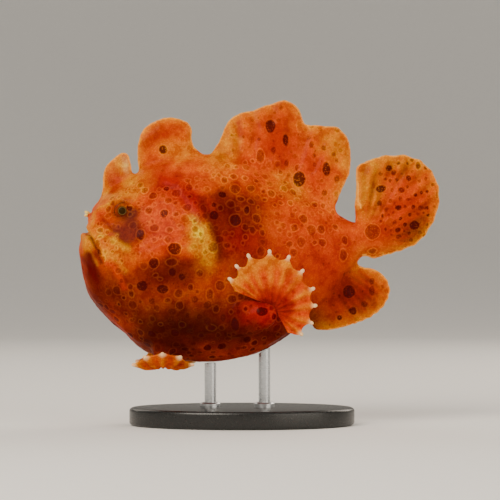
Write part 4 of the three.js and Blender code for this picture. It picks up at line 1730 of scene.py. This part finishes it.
@dataclass(frozen=True)
class BrushedSteel:
    """Stainless steel rod, brushed round its length: fine rings that stretch the highlight."""

    name: str = "stainless_steel_brushed"
    # Real brush lines are about 0.05 mm apart, too fine to show here, so they are drawn coarser.
    line_mm: float = 0.5

    def build(self) -> bpy.types.Material:
        """Builds the material.

        Returns:
            The material.
        """
        material = bpy.data.materials.new(self.name)
        material.use_nodes = True
        graph = Graph(material.node_tree)
        where = graph.add("ShaderNodeTexCoord").outputs["Object"]
        squashed = graph.add("ShaderNodeMapping", {"Vector": where, "Scale": (0.05, 0.05, 1.0)}).outputs[0]
        lines = graph.add(
            "ShaderNodeTexNoise", {"Vector": squashed, "Scale": 1 / (self.line_mm * MM), "Detail": 2.0}
        ).outputs[0]
        colour = mixed(graph, lines, linear("#b4b7ba"), linear("#c6c9cc"))
        rough = graph.add("ShaderNodeMapRange", {"Value": lines, 1: 0.3, 2: 0.7, 3: 0.24, 4: 0.34}).outputs[0]
        steel = graph.add(
            "ShaderNodeBsdfPrincipled", {"Base Color": colour, "Metallic": 1.0, "Roughness": rough}
        )
        graph.add("ShaderNodeOutputMaterial", {"Surface": steel.outputs[0]})
        return material


@dataclass
class Stand:
    """The plain stand: an oval base and two rods, each in a small steel collar."""

    collar_radius: float = 2.3
    collar_height: float = 1.1
    segments: int = 160
    bevel: float = 0.8

    def build(self, acrylic: bpy.types.Material, steel: bpy.types.Material, nodes: dict) -> list[bpy.types.Object]:
        """Builds the smooth base and the collars, and finishes the rods.

        Args:
            acrylic: The base's material.
            steel: The material of rods and collars.
            nodes: The frame's solids by name.

        Returns:
            The base and the collars.
        """
        low, high = (np.array(corner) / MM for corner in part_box("stand_base"))
        base = self.lathe("base_oval", (low + high)[:2] / 2, (high - low)[:2] / 2, self.base_profile(high[2]))
        base.data.materials.append(acrylic)
        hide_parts("stand_base")
        made = [base]
        for name in ("stand_rod_front", "stand_rod_rear"):
            rod_low, rod_high = (np.array(corner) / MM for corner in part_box(name))
            nodes[name].data.materials.clear()
            nodes[name].data.materials.append(steel)
            centre = (rod_low + rod_high)[:2] / 2
            radius = self.collar_radius
            profile = [(0.0, 0.0), (1.0, 0.0), (1.0, self.collar_height - 0.25), (0.9, self.collar_height)]
            profile.append((0.0, self.collar_height))
            lifted = [(share, height + high[2] - 0.02) for share, height in profile]
            collar = self.lathe(name.replace("stand_rod", "collar"), centre, np.array([radius, radius]), lifted)
            collar.data.materials.append(steel)
            made.append(collar)
        return made

    def base_profile(self, top: float) -> list[tuple[float, float]]:
        """The base's edge from the middle of its underside up and over to the middle of its top.

        Args:
            top: Height of the base's upper face.

        Returns:
            Shares of the base's half size, with their heights.
        """
        arc = [math.radians(angle) for angle in range(0, 91, 15)]
        rim = self.bevel / 21.0
        lower = [(1 - rim + rim * math.sin(a), self.bevel * (1 - math.cos(a))) for a in arc]
        upper = [(1 - rim + rim * math.cos(a), top - self.bevel * (1 - math.sin(a))) for a in arc]
        return [(0.0, 0.0), *lower, *upper, (0.0, top)]

    def lathe(
        self, name: str, centre: np.ndarray, half: np.ndarray, profile: Sequence[tuple[float, float]]
    ) -> bpy.types.Object:
        """Turns a profile round an upright axis into a closed oval body.

        Args:
            name: The body's name.
            centre: The axis's place.
            half: Half sizes along X and Y.
            profile: Shares of the half size with their heights, from axis to axis.

        Returns:
            The body.
        """
        turn = np.linspace(0, 2 * math.pi, self.segments, endpoint=False)
        rings = profile[1:-1]
        points = [(centre[0], centre[1], profile[0][1])]
        for share, height in rings:
            x = centre[0] + half[0] * share * np.cos(turn)
            y = centre[1] + half[1] * share * np.sin(turn)
            points += list(zip(x, y, np.full(self.segments, height)))
        points.append((centre[0], centre[1], profile[-1][1]))
        n = self.segments
        last = len(points) - 1
        faces: list[tuple[int, ...]] = []
        for j in range(n):
            k = (j + 1) % n
            faces.append((0, 1 + k, 1 + j))
            for i in range(len(rings) - 1):
                a, b = 1 + i * n + j, 1 + i * n + k
                faces.append((a, b, b + n, a + n))
            faces.append((last - n + j, last - n + k, last))
        made = Shell(name, np.array(points), faces).to_object(smooth=False)
        made.data.shade_smooth()
        made.data.set_sharp_from_angle(angle=math.radians(40))
        return made


@dataclass(frozen=True)
class StudioPaper:
    """Seamless studio paper: pale, matt and even, so that it only takes soft shadow."""

    name: str = "studio_paper_pale"

    def build(self) -> bpy.types.Material:
        """Builds the material.

        Returns:
            The material.
        """
        material = bpy.data.materials.new(self.name)
        material.use_nodes = True
        graph = Graph(material.node_tree)
        where = graph.add("ShaderNodeTexCoord").outputs["Object"]
        noise = graph.add("ShaderNodeTexNoise", {"Vector": where, "Scale": 400.0, "Detail": 2.0}).outputs[0]
        colour = mixed(graph, noise, linear("#f0eeea"), linear("#f4f2ee"))
        paper = graph.add("ShaderNodeBsdfPrincipled", {"Base Color": colour, "Roughness": 0.9})
        graph.add("ShaderNodeOutputMaterial", {"Surface": paper.outputs[0]})
        return material


@dataclass
class Studio:
    """Floor, light and camera."""

    look_at: tuple[float, float, float] = (-2.0, 0.0, 38.9)
    frame_width: float = 111.1
    lens: float = 180.0
    sensor: float = 36.0

    def build(self) -> None:
        """Sets the floor, the lights, the world and the camera."""
        self.floor()
        self.lights()
        self.camera()

    def floor(self) -> None:
        """Makes a round floor whose far rim rises softly, so that no horizon shows."""
        profile = [(0.0, 0.0)]
        profile += [(560.0 + 520.0 * math.sin(a), 520.0 * (1 - math.cos(a))) for a in np.linspace(0, 1.5, 14)]
        segments = 96
        turn = np.linspace(0, 2 * math.pi, segments, endpoint=False)
        points = [(0.0, 0.0, 0.0)]
        for radius, height in profile[1:]:
            points += [(radius * math.cos(a), radius * math.sin(a), height) for a in turn]
        faces: list[tuple[int, ...]] = []
        for j in range(segments):
            k = (j + 1) % segments
            faces.append((0, 1 + j, 1 + k))
            for i in range(len(profile) - 2):
                a, b = 1 + i * segments + j, 1 + i * segments + k
                faces.append((a, a + segments, b + segments, b))
        floor = Shell("studio_floor", np.array(points), faces).to_object()
        floor.data.materials.append(StudioPaper().build())

    def lights(self) -> None:
        """Adds soft lamps: a key, a fill, and two from behind that shine through the fins."""
        target = Vector(self.look_at) * MM
        for name, place, size, watts, tint in (
            ("key", (-260, -420, 380), 0.34, 3.6, "#fff4e4"),
            ("fill", (380, -360, 160), 0.45, 1.5, "#fff4e4"),
            ("back_left", (-300, 330, 330), 0.3, 0.6, "#fff1df"),
            ("back_right", (330, 320, 300), 0.3, 1.4, "#fff1df"),
            ("top", (0, 0, 620), 0.5, 0.7, "#fff6ea"),
        ):
            lamp = bpy.data.lights.new(name, "AREA")
            lamp.size = size
            lamp.energy = watts
            lamp.color = linear(tint)[:3]
            holder = bpy.data.objects.new(name, lamp)
            holder.location = Vector(place) * MM
            holder.rotation_euler = (target - holder.location).to_track_quat("-Z", "Y").to_euler()
            bpy.context.scene.collection.objects.link(holder)
        world = bpy.data.worlds.new("studio_air")
        world.use_nodes = True
        back = world.node_tree.nodes["Background"]
        back.inputs["Color"].default_value = linear("#e8ebee")
        back.inputs["Strength"].default_value = 0.22
        bpy.context.scene.world = world

    def camera(self) -> None:
        """Sets the level camera that sees the fish's left side."""
        lens = bpy.data.cameras.new("camera")
        lens.lens = self.lens
        lens.sensor_width = self.sensor
        lens.clip_start = 0.01
        lens.clip_end = 20.0
        holder = bpy.data.objects.new("camera", lens)
        away = self.frame_width * self.lens / self.sensor
        holder.location = Vector((self.look_at[0], -away, self.look_at[2])) * MM
        holder.rotation_euler = (math.radians(90), 0, 0)
        bpy.context.scene.collection.objects.link(holder)
        bpy.context.scene.camera = holder


def pectoral(side: str) -> FinHand:
    """The pectoral hand of one side."""
    s = SIDES[side]
    wrist = (3.2, s * 15.2, 26.5)
    places = (
        (-6.5, 32.7),
        (-5.0, 35.5),
        (-2.4, 37.8),
        (2.2, 38.7),
        (6.4, 37.5),
        (9.4, 34.5),
        (11.7, 30.6),
        (12.2, 26.9),
        (11.4, 23.1),
        (9.2, 20.6),
    )
    last = len(places) - 1
    tips = [(x, s * (15.0 + 1.4 * math.sin(math.pi * k / last)), z) for k, (x, z) in enumerate(places)]
    heels = ((-5.3, s * 14.4, 30.0), (6.2, s * 14.6, 21.0))
    name = f"pectoral_hand_{side}"
    return FinHand(name, f"fin_pectoral_{side}", wrist, tips, heels, (0, s, 0), 0.5, tuck=1.2)


def pelvic(side: str) -> FinHand:
    """The pelvic hand of one side."""
    s = SIDES[side]
    palm = np.array([-21.0, s * 8.2, 14.4])
    reach = (6.6, 5.8, 5.4, 5.8, 6.5)
    last = len(reach) - 1
    tips = []
    for k, length in enumerate(reach):
        angle = math.radians(176 + (4 - 176) * k / last)
        curl = 2.6 * math.sin(math.pi * k / last)
        tips.append(tuple(palm + [length * math.cos(angle), s * length * math.sin(angle), curl - 0.6]))
    heels = (tuple(palm + [-3.4, -s * 2.2, 0]), tuple(palm + [3.4, -s * 2.2, 0]))
    name = f"pelvic_hand_{side}"
    return FinHand(name, f"fin_pelvic_{side}", tuple(palm), tips, heels, (0, 0, 1), -0.9, 0.1)


def main() -> None:
    """Builds every piece around the frame and reports each one."""
    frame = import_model()
    nodes = frame["nodes"]
    skin_finish = WetSkin().build()
    skin = Skin(skin_finish)
    pieces = [skin.build(nodes)]
    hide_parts(*FLESH)
    glaze = EyeGlaze().build()
    tissue = PaleTissue().build()
    for side in SIDES:
        eye = Eye(side).build(glaze)
        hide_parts(f"eye_{side}")
        pieces.append(eye)
        for seed, hand in enumerate((pectoral(side), pelvic(side))):
            made = hand.build(skin_finish, seed + 40)
            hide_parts(hand.node)
            pieces += made
    rod = FishingRod().build(tissue)
    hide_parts("fishing_rod")
    rod.append(Nostrils().build(tissue))
    pieces += rod
    pieces += Stand().build(Acrylic().build(), BrushedSteel().build(), nodes)
    for piece in pieces:
        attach(piece, BODY)
        LOG.info("%s: %d faces", piece.name, len(piece.data.polygons))
    Studio().build()


if __name__ == "__main__":
    logging.basicConfig(level=logging.INFO, format="%(name)s: %(message)s")
    main()
